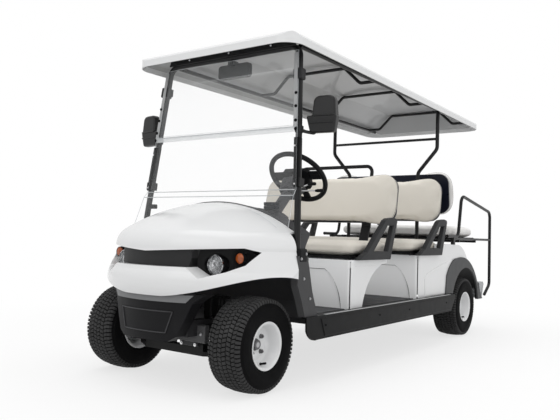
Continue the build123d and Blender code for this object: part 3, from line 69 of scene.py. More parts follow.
class Finish:
    """A material under construction, with its Principled shader."""

    def __init__(self, name, color, **constants):
        self.material = bpy.data.materials.new(name)
        self.material.use_nodes = True
        self.tree = self.material.node_tree
        self.tree.nodes.clear()
        self.output = self.tree.nodes.new("ShaderNodeOutputMaterial")
        self.shader = self.tree.nodes.new("ShaderNodeBsdfPrincipled")
        self.tree.links.new(self.shader.outputs[0], self.output.inputs[0])
        self.material.diffuse_color = (*color, 1)
        self.set("Base Color", (*color, 1))
        for socket, value in constants.items():
            self.set(socket.replace("_", " "), value)

    def set(self, socket, value):
        self._put(self.shader.inputs[socket], value)

    def _put(self, socket, value):
        if isinstance(value, Value):
            self.tree.links.new(value.socket, socket)
        else:
            socket.default_value = value

    def node(self, kind, settings=None, inputs=None, output=0):
        """Add a node: its settings come first, then its socket values or links."""
        made = self.tree.nodes.new("ShaderNode" + kind)
        for key, value in (settings or {}).items():
            setattr(made, key, value)
        for key, value in (inputs or {}).items():
            self._put(made.inputs[key], value)
        return Value(self, made.outputs[output])

    def sum(self, operation, a, b=None):
        inputs = {0: a} if b is None else {0: a, 1: b}
        return self.node("Math", {"operation": operation}, inputs)

    def place(self):
        return self.node("TexCoord", output=3)

    def part(self, axis):
        """One coordinate of the place on the cart."""
        return self.node("SeparateXYZ", inputs={0: self.place()}, output=axis)

    def noise(self, scale, detail=2, roughness=0.5):
        inputs = {"Vector": self.place(), "Scale": scale, "Detail": detail, "Roughness": roughness}
        return self.node("TexNoise", inputs=inputs)

    def cells(self, scale, feature="F1", output=0):
        """Distance within small cells, or with output 1 a random colour for each."""
        inputs = {"Vector": self.place(), "Scale": scale}
        return self.node("TexVoronoi", {"feature": feature}, inputs, output)

    def facing(self, axis):
        """One coordinate of the way the surface faces."""
        return self.node("SeparateXYZ", inputs={0: self.node("NewGeometry", output=1)}, output=axis)

    def dull(self, scale, detail, spread, least):
        """Patchy roughness from least up to least plus spread."""
        self.set("Roughness", self.noise(scale, detail) * spread + least)

    def paint(self, share, a, b):
        """Blend the base colour out of two."""
        self.set("Base Color", self.mix(share, a, b))

    def blotch(self, cloud, low, high, share, color, other):
        """Base colour that turns towards another where the noise is high."""
        self.paint(self.band(cloud, low, high) * share, color, other)

    def band(self, value, low, high):
        """0 below low, 1 above high, smooth between."""
        settings = {"interpolation_type": "SMOOTHSTEP"}
        return self.node("MapRange", settings, {"Value": value, "From Min": low, "From Max": high})

    def mix(self, share, a, b):
        """A blend of two colours."""
        color_a, color_b = (color if isinstance(color, Value) else (*color, 1) for color in (a, b))
        return self.node("Mix", {"data_type": "RGBA"}, {0: share, 6: color_a, 7: color_b}, 2)

    def seen_directly(self):
        """1 where the camera, a clear sheet or a mirror looks at the surface."""
        camera = self.node("LightPath")
        rays = camera.socket.node.outputs
        glossy, through = (Value(self, rays[f"Is {kind} Ray"]) for kind in ("Glossy", "Transmission"))
        return self.sum("MAXIMUM", self.sum("MAXIMUM", camera, glossy), through)

    def bump(self, height, strength, distance):
        normal = self.node("Bump", inputs={"Height": height, "Strength": strength, "Distance": distance})
        self.set("Normal", normal)


WHITE = (0.82, 0.825, 0.83)
GRAIN = 260
PLATE_WAVES = 260


def paler(color, factor, lift=0):
    """A colour multiplied and lifted, or darkened by a factor below 1."""
    return tuple(min(1, c * factor + lift) for c in color)


def gloss_white(name):
    """Moulded body panels: white gloss with faint ripple, darker in noisy patches towards the bottom."""
    f = Finish(name, WHITE, Coat_Weight=0.25, Coat_Roughness=0.08)
    low_darkening = f.noise(7, 4) * (1 - f.band(f.part(2), 0.25, 0.75))
    f.paint(low_darkening * 0.16, WHITE, (0.52, 0.51, 0.49))
    f.dull(30, 3, 0.08, 0.18)
    f.bump(f.noise(55, 1), 0.02, 0.002)
    return f


def roof_skin(name):
    """Roof: white gloss outside, and a duller underside with grey painted shade on it."""
    f = Finish(name, WHITE, Coat_Weight=0.2)
    # Faces that look down are painted grey as shade.
    shaded_underside = f.band(f.facing(2) * -1, 0.2, 0.5)
    cloud = f.mix(f.noise(1.6, 3), (0.30, 0.305, 0.31), (0.46, 0.465, 0.47))
    f.paint(shaded_underside, WHITE, cloud)
    f.set("Roughness", shaded_underside * 0.2 + f.noise(26, 3) * 0.08 + 0.2)
    f.bump(f.noise(50, 1), 0.03, 0.002)
    return f


def moulded(name, color, roughness=0.5, grain=GRAIN, depth=0.12, specular=0.22):
    """Grained plastic with slightly paler scuffed places."""
    f = Finish(name, color, Specular_IOR_Level=specular)
    f.blotch(f.noise(9, 5, 0.65), 0.55, 0.75, 0.35, color, paler(color, 1.6, 0.004))
    f.dull(18, 3, 0.14, roughness - 0.07)
    f.bump(f.cells(grain), depth, 0.0006)
    return f


def powder_coat(name, color, roughness, specular=0.3):
    """Painted steel tube and bracket finish with a fine orange-peel."""
    f = Finish(name, color, Specular_IOR_Level=specular)
    f.dull(40, 3, 0.16, roughness - 0.08)
    f.blotch(f.noise(12, 4), 0.5, 0.8, 0.4, color, paler(color, 1.4, 0.003))
    f.bump(f.noise(420, 1), 0.08, 0.0005)
    return f


def clear_sheet(name, veil):
    """Acrylic sheet: a light veil across its face, pale along its cut edges and its folds, where a
    highlight is painted.
    """
    f = Finish(name, (0.93, 0.95, 0.96), IOR=1.45, Specular_IOR_Level=0.1)
    # Faces turned away from the sheet's face, at its cut edges and folds, get a painted highlight: paler
    # and less clear.
    edge = 1 - f.band(abs(f.facing(1)), 0.35, 0.8)
    f.paint(edge, (0.93, 0.95, 0.96), (0.72, 0.75, 0.77))
    f.set("Alpha", edge * 0.7 + f.noise(3, 2) * 0.04 + (veil - 0.02))
    f.dull(6, 3, 0.04, 0.03)
    return f


def frosted(name, color, alpha):
    """Painted highlight on folded or cut acrylic, where it catches the light."""
    f = Finish(name, color, IOR=1.45)
    f.set("Alpha", f.noise(40, 2) * 0.12 + alpha - 0.06)
    f.dull(30, 2, 0.1, 0.18)
    return f


def faceted_chrome(name):
    """Vacuum-plated reflector broken into small facets, with dark reflections painted on some of them."""
    f = Finish(name, (0.6, 0.61, 0.62), Metallic=1)
    # Some facets are painted dark as reflections.
    tone = f.node("SeparateXYZ", inputs={0: f.cells(95, output=1)})
    f.paint(tone, (0.1, 0.1, 0.105), (0.86, 0.87, 0.88))
    f.dull(60, 2, 0.1, 0.1)
    return f


def two_tone(name, split, first, second, least):
    """Grained plastic with painted shade in its recesses; split works out where the unshaded tone shows."""
    f = Finish(name, second, Specular_IOR_Level=0.2)
    f.paint(split(f), first, second)
    f.dull(18, 3, 0.14, least)
    f.bump(f.cells(GRAIN), 0.12, 0.0006)
    return f


def arch_lip(f):
    """1 on the outer lip of a wheel arch, 0 inside the arch, which is painted dark as shade."""
    return f.band(abs(f.part(0)), 0.5445, 0.5465)


def band_middle(f):
    """1 on the middle of the lamp band, up to its slanted ends, and 0 in the lamp wells, which are painted
    dark as shade.
    """
    end = f.part(2) * 0.3 + (0.226 - 0.3 * 0.6)
    return 1 - f.band(abs(f.part(0)) - end, -0.001, 0.001)


def lens(name, color, alpha):
    """Moulded lamp lens with fine pillow ribs."""
    f = Finish(name, color, IOR=1.5, Coat_Weight=0.3)
    tone = f.node("SeparateXYZ", inputs={0: f.cells(80, output=1)})
    f.paint(tone, paler(color, 0.55), color)
    f.set("Alpha", f.noise(60, 1) * 0.1 + alpha - 0.05)
    f.dull(30, 2, 0.06, 0.04)
    f.bump(f.cells(120), 0.35, 0.0015)
    return f


def vinyl(name, color):
    """Soft seat vinyl with a fine leather grain and faint creases."""
    f = Finish(name, color, Sheen_Weight=0.08, Specular_IOR_Level=0.35)
    f.blotch(f.noise(4, 4), 0.45, 0.75, 0.35, color, paler(color, 0.86))
    f.dull(22, 3, 0.12, 0.42)
    grain = f.band(f.cells(340, "DISTANCE_TO_EDGE"), 0, 0.25)
    f.bump(grain * 0.7 + f.noise(34, 4) * 0.6, 0.16, 0.0008)
    return f


def rubber(name, color, roughness=0.7):
    """Tyre rubber with dust in its grain."""
    f = Finish(name, color, Specular_IOR_Level=0.06)
    f.blotch(f.noise(11, 5, 0.6), 0.4, 0.8, 0.5, color, paler(color, 1.8, 0.003))
    f.dull(24, 3, 0.14, roughness - 0.06)
    f.bump(f.noise(300, 2), 0.12, 0.0006)
    return f


def ribbed_mat(name):
    """Floor mat with narrow ribs that run along the cart."""
    color = (0.05, 0.051, 0.054)
    f = Finish(name, color, Roughness=0.7, Specular_IOR_Level=0.2)
    f.blotch(f.noise(14, 5), 0.4, 0.8, 1, color, (0.085, 0.085, 0.085))
    f.bump(f.node("TexWave", {"bands_direction": "X"}, {"Vector": f.place(), "Scale": 26}), 0.5, 0.002)
    return f


def checker_plate(name):
    """Pale grey tread plate with small raised diamonds."""
    f = Finish(name, (0.4, 0.41, 0.42), Metallic=0.3)
    x, y = f.part(0), f.part(1)
    waves = f.sum("SINE", (x + y) * PLATE_WAVES) * f.sum("SINE", (x - y) * PLATE_WAVES)
    rise = f.band(waves, 0.25, 0.6)
    f.paint(rise, (0.3, 0.31, 0.32), (0.62, 0.63, 0.64))
    f.dull(40, 2, 0.1, 0.34)
    f.bump(rise, 0.5, 0.0015)
    return f


def bright_metal(name, color, roughness):
    """Plated or zinc-coated metal with fine brushing."""
    f = Finish(name, color, Metallic=1)
    f.dull(60, 3, 0.1, roughness - 0.05)
    f.bump(f.noise(220, 2), 0.05, 0.0004)
    return f


# Finish, then its maker and what the maker is given.
RECIPES = {
    "white": (gloss_white,),
    "roof": (roof_skin,),
    "black": (moulded, (0.0065, 0.0065, 0.0075), 0.5, GRAIN, 0.12, 0.15),
    "well": (moulded, (0.003, 0.003, 0.0035), 0.55, GRAIN, 0.05, 0.1),
    "charcoal": (moulded, (0.024, 0.0245, 0.026), 0.5),
    "band": (moulded, (0.2, 0.203, 0.208), 0.42),
    "tube": (powder_coat, (0.006, 0.006, 0.0068), 0.34),
    "chassis": (powder_coat, (0.008, 0.008, 0.008), 0.5, 0.2),
    "beam": (powder_coat, (0.035, 0.035, 0.037), 0.45, 0.25),
    "rim": (powder_coat, (0.8, 0.805, 0.81), 0.3),
    "bright_bolt": (bright_metal, (0.85, 0.85, 0.86), 0.3),
    "pale_trim": (powder_coat, (0.4, 0.405, 0.41), 0.3),
    "pale_edge": (frosted, (0.62, 0.64, 0.65), 0.7),
    "frosted": (frosted, (0.8, 0.82, 0.83), 0.45),
    "steel": (bright_metal, (0.45, 0.45, 0.46), 0.34),
    "dark_steel": (bright_metal, (0.16, 0.16, 0.165), 0.4),
    "lit_beam": (powder_coat, (0.085, 0.085, 0.087), 0.45, 0.25),
    "liner": (moulded, (0.065, 0.065, 0.067), 0.6),
    "shroud": (moulded, (0.05, 0.05, 0.053), 0.45),
    "sill": (moulded, (0.0045, 0.0045, 0.005), 0.45, GRAIN, 0.06, 0.12),
    "switch": (moulded, (0.0035, 0.0045, 0.011), 0.4, 200, 0.06, 0.1),
    "chrome": (faceted_chrome,),
    "floor": (moulded, (0.05, 0.05, 0.052), 0.5),
    "flare": (two_tone, arch_lip, (0.006, 0.006, 0.0065), (0.068, 0.069, 0.071), 0.43),
    "grille": (two_tone, band_middle, (0.003, 0.003, 0.0034), (0.026, 0.0262, 0.027), 0.45),
    "mirror": (bright_metal, (0.62, 0.65, 0.68), 0.05),
    "step": (checker_plate,),
    "clear": (clear_sheet, 0.045),
    "clear_upper": (clear_sheet, 0.075),
    "clear_lens": (lens, (0.9, 0.92, 0.94), 0.12),
    "amber_lens": (lens, (0.5, 0.105, 0.018), 0.92),
    "cream": (vinyl, (0.66, 0.625, 0.56)),
    # A paler copy of cream: painted light on the rear seat.
    "pale_cream": (vinyl, (0.86, 0.85, 0.83)),
    "shell": (moulded, (0.011, 0.011, 0.0115), 0.34, GRAIN, 0.05, 0.35),
    "piping": (vinyl, (0.3, 0.29, 0.27)),
    "navy": (moulded, (0.008, 0.0095, 0.018), 0.3, 200, 0.06, 0.35),
    # The casing, which also floors the grooves, is far darker than the tread blocks: painted shade in the
    # grooves.
    "tyre": (rubber, (0.0045, 0.0045, 0.0048)),
    "tread": (rubber, (0.046, 0.046, 0.0465), 0.6),
    "mat": (ribbed_mat,),
}
FINISHES = {
    key: maker(f"{key}_{maker.__name__}", *given).material for key, (maker, *given) in RECIPES.items()
}

# Finish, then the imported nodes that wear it.
NODE_FINISH = {
    "white": "front_cowl front_seat_base rear_body",
    "roof": "roof_shell",
    "shroud": "dash steering_column",
    "liner": "cowl_sides",
    "sill": "sills",
    "black": "bumper steering_wheel side_mirrors interior_mirror front_seat_pan middle_seat_pan "
             "rear_seat_deck battery_pack",
    "charcoal": "armrests",
    "flare": "fender_flares",
    "grille": "lamp_panel",
    "floor": "floor_pan",
    "band": "bumper_band",
    "tube": "front_pillars roof_frame rear_struts guard_frame front_back_frame pedals seat_hinges",
    "chassis": "cross_members front_suspension rear_axle drive_motor rear_springs front_subframe",
    "beam": "chassis_rails",
    "rim": "front_rim_left front_rim_right rear_rim_left rear_rim_right",
    "steel": "knuckle_left knuckle_right tie_rod headlamps turn_lamps",
    "step": "footstep",
    "clear": "windscreen_lower",
    "clear_upper": "windscreen_upper",
    "cream": "front_cushion middle_cushion rear_cushion front_backrest middle_backrest rear_backrest",
    "navy": "back_shells",
    "tyre": "front_tyre_left front_tyre_right rear_tyre_left rear_tyre_right",
    "mat": "floor_mat",
}


def coat(obj, finish):
    obj.data.materials.clear()
    obj.data.materials.append(FINISHES[finish])


for finish_name, names in NODE_FINISH.items():
    for node_name in names.split():
        coat(NODES[node_name], finish_name)


# ---- making pieces
WELD = 0.00005
POINT_R = 1e-5
SIDES = ((1, "left"), (-1, "right"))


def show(thing):
    bpy.context.scene.collection.objects.link(thing)


def deselect():
    bpy.ops.object.select_all(action="DESELECT")


def only(piece):
    """Make a piece the only selected one, and the active one."""
    deselect()
    piece.select_set(True)
    bpy.context.view_layer.objects.active = piece


def open_piece(piece, action="DESELECT"):
    """Edit one piece with nothing in it selected, or with all of it."""
    only(piece)
    bpy.ops.object.mode_set(mode="EDIT")
    bpy.ops.mesh.select_all(action=action)


def select_all():
    bpy.ops.mesh.select_all(action="SELECT")


def shut_piece():
    bpy.ops.object.mode_set(mode="OBJECT")


def shut_outward():
    """Turn every face of the open piece outward and close it."""
    select_all()
    bpy.ops.mesh.normals_make_consistent(inside=False)
    shut_piece()


def fix_place(piece):
    """Put a piece's place, turn and size into its mesh."""
    only(piece)
    bpy.ops.object.transform_apply(location=True, rotation=True, scale=True)


def named(name):
    piece = bpy.context.object
    piece.name = piece.data.name = name
    fix_place(piece)
    return piece


def pick(piece, kind, test):
    """Select the vertices, edges or faces of an open piece whose middle passes the test."""
    bpy.ops.mesh.select_mode(type=kind)
    bpy.ops.mesh.select_all(action="DESELECT")
    mesh = bmesh.from_edit_mesh(piece.data)
    rows, middle = {"VERT": (mesh.verts, lambda row: row.co),
                    "EDGE": (mesh.edges, lambda row: (row.verts[0].co + row.verts[1].co) / 2),
                    "FACE": (mesh.faces, lambda row: row.calc_center_median())}[kind]
    for row in rows:
        if test(middle(row)):
            row.select_set(True)
    mesh.select_flush_mode()
    bmesh.update_edit_mesh(piece.data)


def slab(name, low, high):
    """A block from its low corner to its high corner, as a start for shaping."""
    deselect()
    middle = [(a + b) / 2 for a, b in zip(low, high)]
    spread = [b - a for a, b in zip(low, high)]
    bpy.ops.mesh.primitive_cube_add(size=1, location=middle, scale=spread)
    return named(name)


def soften(piece, width, segments=2, test=None):
    """Bevel the edges that pass the test, or all of them."""
    open_piece(piece)
    pick(piece, "EDGE", test or (lambda middle: True))
    bpy.ops.mesh.bevel(offset=width, segments=segments, affect="EDGES", clamp_overlap=True)
    shut_piece()


def drawn(piece, kind, test, factor, center=(0, 0, 0)):
    """Scale what passes the test about a centre, for tapers."""
    open_piece(piece)
    pick(piece, kind, test)
    bpy.ops.transform.resize(value=factor, center_override=center)
    shut_piece()


def smooth(piece, angle=40):
    only(piece)
    bpy.ops.object.shade_smooth_by_angle(angle=math.radians(angle))


def apply_modifier(piece, kind, **settings):
    only(piece)
    modifier = piece.modifiers.new(kind.lower(), kind)
    for key, value in settings.items():
        setattr(modifier, key, value)
    bpy.ops.object.modifier_apply(modifier=modifier.name)


def turned(name, rings, segments):
    """Draw rings of (place along X, radius) out of one circle; an end of radius 0 closes to a point."""
    deselect()
    x, radius = rings[0]
    bpy.ops.mesh.primitive_circle_add(vertices=segments, radius=max(radius, POINT_R), location=(x, 0, 0),
                                      rotation=(0, math.radians(90), 0))
    piece = named(name)
    open_piece(piece)
    bpy.ops.mesh.select_mode(type="VERT")
    select_all()
    for next_x, next_radius in rings[1:]:
        bpy.ops.mesh.extrude_region_move(TRANSFORM_OT_translate={"value": (next_x - x, 0, 0)})
        factor = max(next_radius, POINT_R) / max(radius, POINT_R)
        bpy.ops.transform.resize(value=(1, factor, factor), center_override=(next_x, 0, 0))
        x, radius = next_x, next_radius
    select_all()
    bpy.ops.mesh.remove_doubles(threshold=WELD)
    shut_outward()
    return piece


def copied(piece, name, move=(0, 0, 0), mirrored=False):
    """A copy with its own mesh, moved, and turned to the other side where asked."""
    twin = piece.copy()
    twin.data = piece.data.copy()
    twin.name = twin.data.name = name
    show(twin)
    if mirrored:
        twin.scale.x = -1
    twin.location = move
    fix_place(twin)
    if mirrored:
        open_piece(twin)
        shut_outward()
    return twin


def joined(name, pieces):
    deselect()
    for piece in pieces:
        piece.select_set(True)
    bpy.context.view_layer.objects.active = pieces[0]
    bpy.ops.object.join()
    whole = bpy.context.object
    whole.name = whole.data.name = name
    return whole


def placed(piece, place, turn=(0, 0, 0)):
    piece.rotation_euler = turn
    piece.location = place
    fix_place(piece)
    return piece


def hand_over(piece, body, finish, replaced=()):
    """Coat a finished piece, let it ride and hide the parts it stands for."""
    coat(piece, finish)
    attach(piece, body)
    if replaced:
        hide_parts(*replaced)
    return piece


def both_sides(piece, name, slot, finish, replaced=()):
    """Hand over a left and a right copy of a piece that was made on the left."""
    for side, label in SIDES:
        hand_over(copied(piece, f"{name}_{label}", mirrored=side < 0), "chassis", finish, replaced)
    erase(piece)


def trim(piece, width, segments, finish):
    """Soften a block's edges and hand it to the chassis."""
    soften(piece, width, segments)
    return hand_over(piece, "chassis", finish)


def block(name, low, high, width, segments, slot, finish):
    """A softened block on the chassis, between two corners given from the front axle."""
    return trim(slab(name, cart(*low), cart(*high)), width, segments, finish)


def erase(piece):
    bpy.data.objects.remove(piece, do_unlink=True)


# ---- wheels
TYRE_R = 0.2285
TREAD_EDGE_R = 0.219
TREAD_HALF = 0.085
CROWN_R = (TREAD_HALF ** 2 + (TYRE_R - TREAD_EDGE_R) ** 2) / (2 * (TYRE_R - TREAD_EDGE_R))
GROOVE = 0.007
BLOCK_DEPTH = 0.011
BLOCK_SLANT = 0.0052
LUG_ACROSS = 0.0795
LUG_R = 0.2155
WHEELS = (("front", 0.4325, 0), ("rear", 0.466, 2.57))
PITCHES = 68


def tread_radius(x):
    return TYRE_R - CROWN_R + math.sqrt(CROWN_R ** 2 - x ** 2)


def tyre_carcass():
    """Casing with a crowned floor under the tread, bulged walls and raised rings on them."""
    half = [(0, tread_radius(0) - GROOVE)]
    for x in (0.02, 0.04, 0.06, 0.076):
        half.append((x, tread_radius(x) - GROOVE))
    half += [(0.0845, 0.2105), (0.0895, 0.2035), (0.0925, 0.196), (0.0955, 0.188), (0.0968, 0.1872),
             (0.0983, 0.178), (0.0992, 0.168), (0.0994, 0.159), (0.0989, 0.150), (0.0977, 0.141),
             (0.0958, 0.133), (0.0965, 0.1315), (0.0962, 0.1275), (0.0945, 0.1255), (0.0925, 0.119),
             (0.0905, 0.1166), (0.0883, 0.1158), (0.088, 0.106)]
    rings = [(-x, r) for x, r in reversed(half[1:])] + half
    rings.append(rings[0])
    return turned("carcass", rings, 96)


def tread_blocks():
    """One pitch of blocks: slanted ribs across the crown and lugs down the shoulder."""
    pitch = 2 * math.pi * TYRE_R / PITCHES
    rows = []
    # place across, width, slant of the block, share of the pitch it fills, shift along the tread
    columns = ((0.0125, 0.0215, 1, 0.76, 0), (0.0375, 0.0215, -1, 0.76, 0.5), (0.0615, 0.0195, 1, 0.74, 0))
    for side in (1, -1):
        for across, width, slant, share, shift in columns:
            radius = tread_radius(across)
            lean = side * math.asin(across / CROWN_R)
            deselect()
            bpy.ops.mesh.primitive_cube_add(
                size=1, location=(side * across, shift * pitch, radius - BLOCK_DEPTH / 2),
                scale=(width, share * pitch, BLOCK_DEPTH), rotation=(0, lean, 0))
            block = named("block")
            open_piece(block)
            pick(block, "VERT", lambda v: v.x > side * across)
            bpy.ops.transform.translate(value=(0, slant * side * BLOCK_SLANT, 0))
            pick(block, "EDGE", lambda v: v.z > radius - 0.003)
            bpy.ops.mesh.bevel(offset=0.0016, segments=1, affect="EDGES")
            shut_piece()
            rows.append(block)
        deselect()
        bpy.ops.mesh.primitive_cube_add(
            size=1, location=(side * LUG_ACROSS, 0, LUG_R),
            scale=(0.0135, 0.64 * pitch, BLOCK_DEPTH), rotation=(0, side * 0.3, 0))
        lug = named("lug")
        open_piece(lug)
        pick(lug, "FACE", lambda v: side * v.x > 0.0845)
        bpy.ops.mesh.extrude_region_move(TRANSFORM_OT_translate={"value": (side * 0.0052, 0, -0.0105)})
        bpy.ops.transform.resize(value=(0.7, 1, 0.8))
        shut_piece()
        rows.append(lug)
    pattern = joined("tread", rows)
    open_piece(pattern, "SELECT")
    last = 2 * math.pi * (PITCHES - 1) / PITCHES
    bpy.ops.mesh.spin(steps=PITCHES - 1, dupli=True, angle=last, center=(0, 0, 0), axis=(1, 0, 0))
    shut_outward()
    return pattern


# Turned parts of a wheel: name, segments, shading angle, then rings of (place along the axle, radius).
WHEEL_SECTIONS = {
    "dish": (72, 38, (
        (0.0915, 0.1155), (0.0935, 0.1135), (0.0935, 0.1095), (0.0905, 0.1055), (0.0855, 0.1012),
        (0.066, 0.0985), (0.058, 0.0935), (0.036, 0.0925), (0.0295, 0.0885), (0.0245, 0.0795),
        (0.0215, 0.0745), (0.0212, 0.068), (0.0232, 0.064), (0.0232, 0.042), (0.0212, 0.0385),
        (0.0212, 0.029), (0.0165, 0.029), (0.0165, 0.082), (0.0195, 0.0895), (-0.036, 0.0895),
        (-0.058, 0.0905), (-0.066, 0.0955), (-0.0855, 0.0985), (-0.0925, 0.1055), (-0.0935, 0.1135),
        (-0.0915, 0.1155), (-0.0885, 0.1145), (-0.0875, 0.1045), (-0.0855, 0.1035), (0.0855, 0.1035),
        (0.0875, 0.1045), (0.0885, 0.1145), (0.0915, 0.1155))),
    "hub": (48, 38, (
        (-0.062, 0), (-0.062, 0.031), (0.008, 0.031), (0.008, 0.062), (0.0165, 0.062), (0.0165, 0))),
    "dust_cap": (40, 38, (
        (0.0165, 0), (0.0165, 0.0275), (0.0215, 0.0275), (0.0235, 0.0255), (0.034, 0.0235), (0.037, 0.021),
        (0.038, 0.015), (0.0365, 0.013), (0.0365, 0))),
    "nut": (6, 25, (
        (0.0212, 0), (0.0212, 0.0125), (0.0235, 0.0125), (0.0245, 0.0105), (0.0345, 0.0105),
        (0.0362, 0.0088), (0.0362, 0.0062), (0.0352, 0.0055), (0.0352, 0))),
    "stud": (12, 25, ((0.034, 0), (0.034, 0.0052), (0.0405, 0.0052), (0.0415, 0.0042), (0.0415, 0))),
    "valve": (16, 38, (
        (0, 0), (0, 0.0062), (0.003, 0.0075), (0.006, 0.0055), (0.02, 0.0048), (0.021, 0.0058),
        (0.034, 0.0055), (0.0355, 0.0045), (0.0355, 0))),
}
NUT_CIRCLE_R = 0.0508


def wheel_part(name):
    segments, angle, rings = WHEEL_SECTIONS[name]
    piece = turned(name, rings, segments)
    smooth(piece, angle)
    return piece


def wheel_nuts():
    """Four nuts on their studs."""
    nuts = []
    for quarter in range(4):
        angle = math.radians(45 + 90 * quarter)
        both = joined("nut", [wheel_part("nut"), wheel_part("stud")])
        nuts.append(placed(both, (0, NUT_CIRCLE_R * math.cos(angle), NUT_CIRCLE_R * math.sin(angle))))
    return joined("nuts", nuts)


def wheels():
    """Four wheels from one set of pieces."""
    carcass, tread = tyre_carcass(), tread_blocks()
    smooth(carcass, 38)
    smooth(tread, 25)
    stem = placed(wheel_part("valve"), (0.052, 0, -0.0885), (0, math.radians(-14), 0))
    # piece, name, slot, finish, node that it stands for
    kit = (
        (carcass, "casing", "tyre_rubber", "tyre", "tyre"),
        (tread, "tread", "tyre_rubber", "tread", None),
        (wheel_part("dish"), "dish", "white_metal", "rim", "rim"),
        (wheel_part("hub"), "hub", "frame_metal", "chassis", None),
        (wheel_part("dust_cap"), "dust_cap", "bare_steel", "dark_steel", None),
        (wheel_nuts(), "wheel_nuts", "bare_steel", "dark_steel", None),
        (stem, "valve", "black_plastic", "black", None),
    )
    for row, across, along in WHEELS:
        for side, sign in (("left", 1), ("right", -1)):
            place = (sign * across, along + AXLE_TO_MIDDLE, TYRE_R)
            for piece, label, slot, finish, node in kit:
                twin = copied(piece, f"{row}_{label}_{side}", place, mirrored=sign < 0)
                replaced = [f"{row}_{node}_{side}"] if node else []
                hand_over(twin, f"wheel_{row}_{side}", finish, replaced)
    for piece, *_ in kit:
        erase(piece)


wheels()


# ---- bars, bolts and bands
def corded(piece, radius, sides=3):
    """Turn a chain of edges into a round bar."""
    only(piece)
    bpy.ops.object.convert(target="CURVE")
    piece.data.bevel_depth = radius
    piece.data.bevel_resolution = sides
    piece.data.use_fill_caps = True
    bpy.ops.object.convert(target="MESH")
    smooth(piece, 50)
    return piece


def bar(name, points, radius, bend=0, sides=3):
    """A round bar along straight runs, with its corners rounded by bend."""
    deselect()
    bpy.ops.mesh.primitive_plane_add(size=0.001, location=points[0])
    piece = named(name)
    open_piece(piece)
    bpy.ops.mesh.select_mode(type="VERT")
    select_all()
    bpy.ops.mesh.merge(type="CENTER")
    for start, end in zip(points, points[1:]):
        step = [b - a for a, b in zip(start, end)]
        bpy.ops.mesh.extrude_region_move(TRANSFORM_OT_translate={"value": step})
    if bend:
        inner = [Vector(point) for point in points[1:-1]]
        pick(piece, "VERT", lambda v: any((v - point).length < 0.001 for point in inner))
        bpy.ops.mesh.bevel(offset=bend, segments=7, affect="VERTICES")
    shut_piece()
    return corded(piece, radius, sides)


def bolt(name, place, radius, height, turn):
    """Pan head over a washer."""
    head = ((0.3, 1), (0.3, 0.72), (0.8, 0.68), (1, 0.45), (1, 0))
    rings = [(-0.002, 0), (-0.002, radius)] + [(height * x, radius * share) for x, share in head]
    piece = turned(name, rings, 12)
    smooth(piece, 35)
    return placed(piece, place, turn)


def bolts(name, places, radius, height, turn, finish, first=1):
    """Numbered bolts on the chassis, one at each place."""
    for count, place in enumerate(places, first):
        hand_over(bolt(f"{name}_{count}", place, radius, height, turn), "chassis", finish)


def cart(x, y, z):
    """A place given from the front axle, in the shared frame."""
    return (x, y + AXLE_TO_MIDDLE, z)


FACING_FRONT = (0, 0, math.radians(-90))
FACING_LEFT = (0, 0, 0)
FACING_RIGHT = (0, 0, math.radians(180))


# ---- cushions and backs
SWELL_STEPS = 20
SWELL_CAP = 0.026
START_SHARE = 0.965
NEAR_EDGE = 0.9
PIPING_R = 0.0026


def filled(piece, pressure, cap):
    """Swell a closed cover by cloth pressure, no point further than the cap."""
    only(piece)
    before = [vertex.co.copy() for vertex in piece.data.vertices]
    bpy.ops.object.modifier_add(type="CLOTH")
    cloth = piece.modifiers[-1]
    stuffing = {"quality": 5, "mass": 0.3, "tension_stiffness": 18, "compression_stiffness": 18,
                "bending_stiffness": 0.6, "use_pressure": True, "uniform_pressure_force": pressure}
    for key, value in stuffing.items():
        setattr(cloth.settings, key, value)
    cloth.settings.effector_weights.gravity = 0
    scene = bpy.context.scene
    for step in range(1, SWELL_STEPS + 1):
        scene.frame_set(step)
    bpy.ops.object.modifier_apply(modifier=cloth.name)
    scene.frame_set(1)
    for vertex, start in zip(piece.data.vertices, before):
        moved = vertex.co - start
        if moved.length > cap:
            vertex.co = start + moved * (cap / moved.length)


def pad(name, spread, corner, edge, voxel, pressure, fold):
    """A stuffed slab, centred on the origin, crowned on all sides and fitted to its spread."""
    low = [-side / 2 * START_SHARE for side in spread]
    high = [side / 2 * START_SHARE for side in spread]
    piece = slab(name, low, high)
    thin = min(range(3), key=lambda axis: spread[axis])
    wide = [axis for axis in range(3) if axis != thin]
    soften(piece, corner, 8, lambda m: all(abs(m[axis]) > spread[axis] / 2 * NEAR_EDGE for axis in wide))
    soften(piece, edge, 4, lambda m: abs(m[thin]) > spread[thin] / 2 * NEAR_EDGE)
    apply_modifier(piece, "REMESH", mode="VOXEL", voxel_size=voxel)
    filled(piece, pressure, SWELL_CAP)
    apply_modifier(piece, "SMOOTH", factor=0.5, iterations=5)
    folds = bpy.data.textures.new(name + "_folds", "CLOUDS")
    folds.noise_scale = 0.16
    folds.noise_depth = 1
    apply_modifier(piece, "DISPLACE", texture=folds, strength=fold, mid_level=0.5)
    open_piece(piece, "SELECT")
    reach = [max(vertex.co[axis] for vertex in bmesh.from_edit_mesh(piece.data).verts) for axis in range(3)]
    factors = [side / 2 / far for side, far in zip(spread, reach)]
    bpy.ops.transform.resize(value=factors, center_override=(0, 0, 0))
    shut_piece()
    return piece


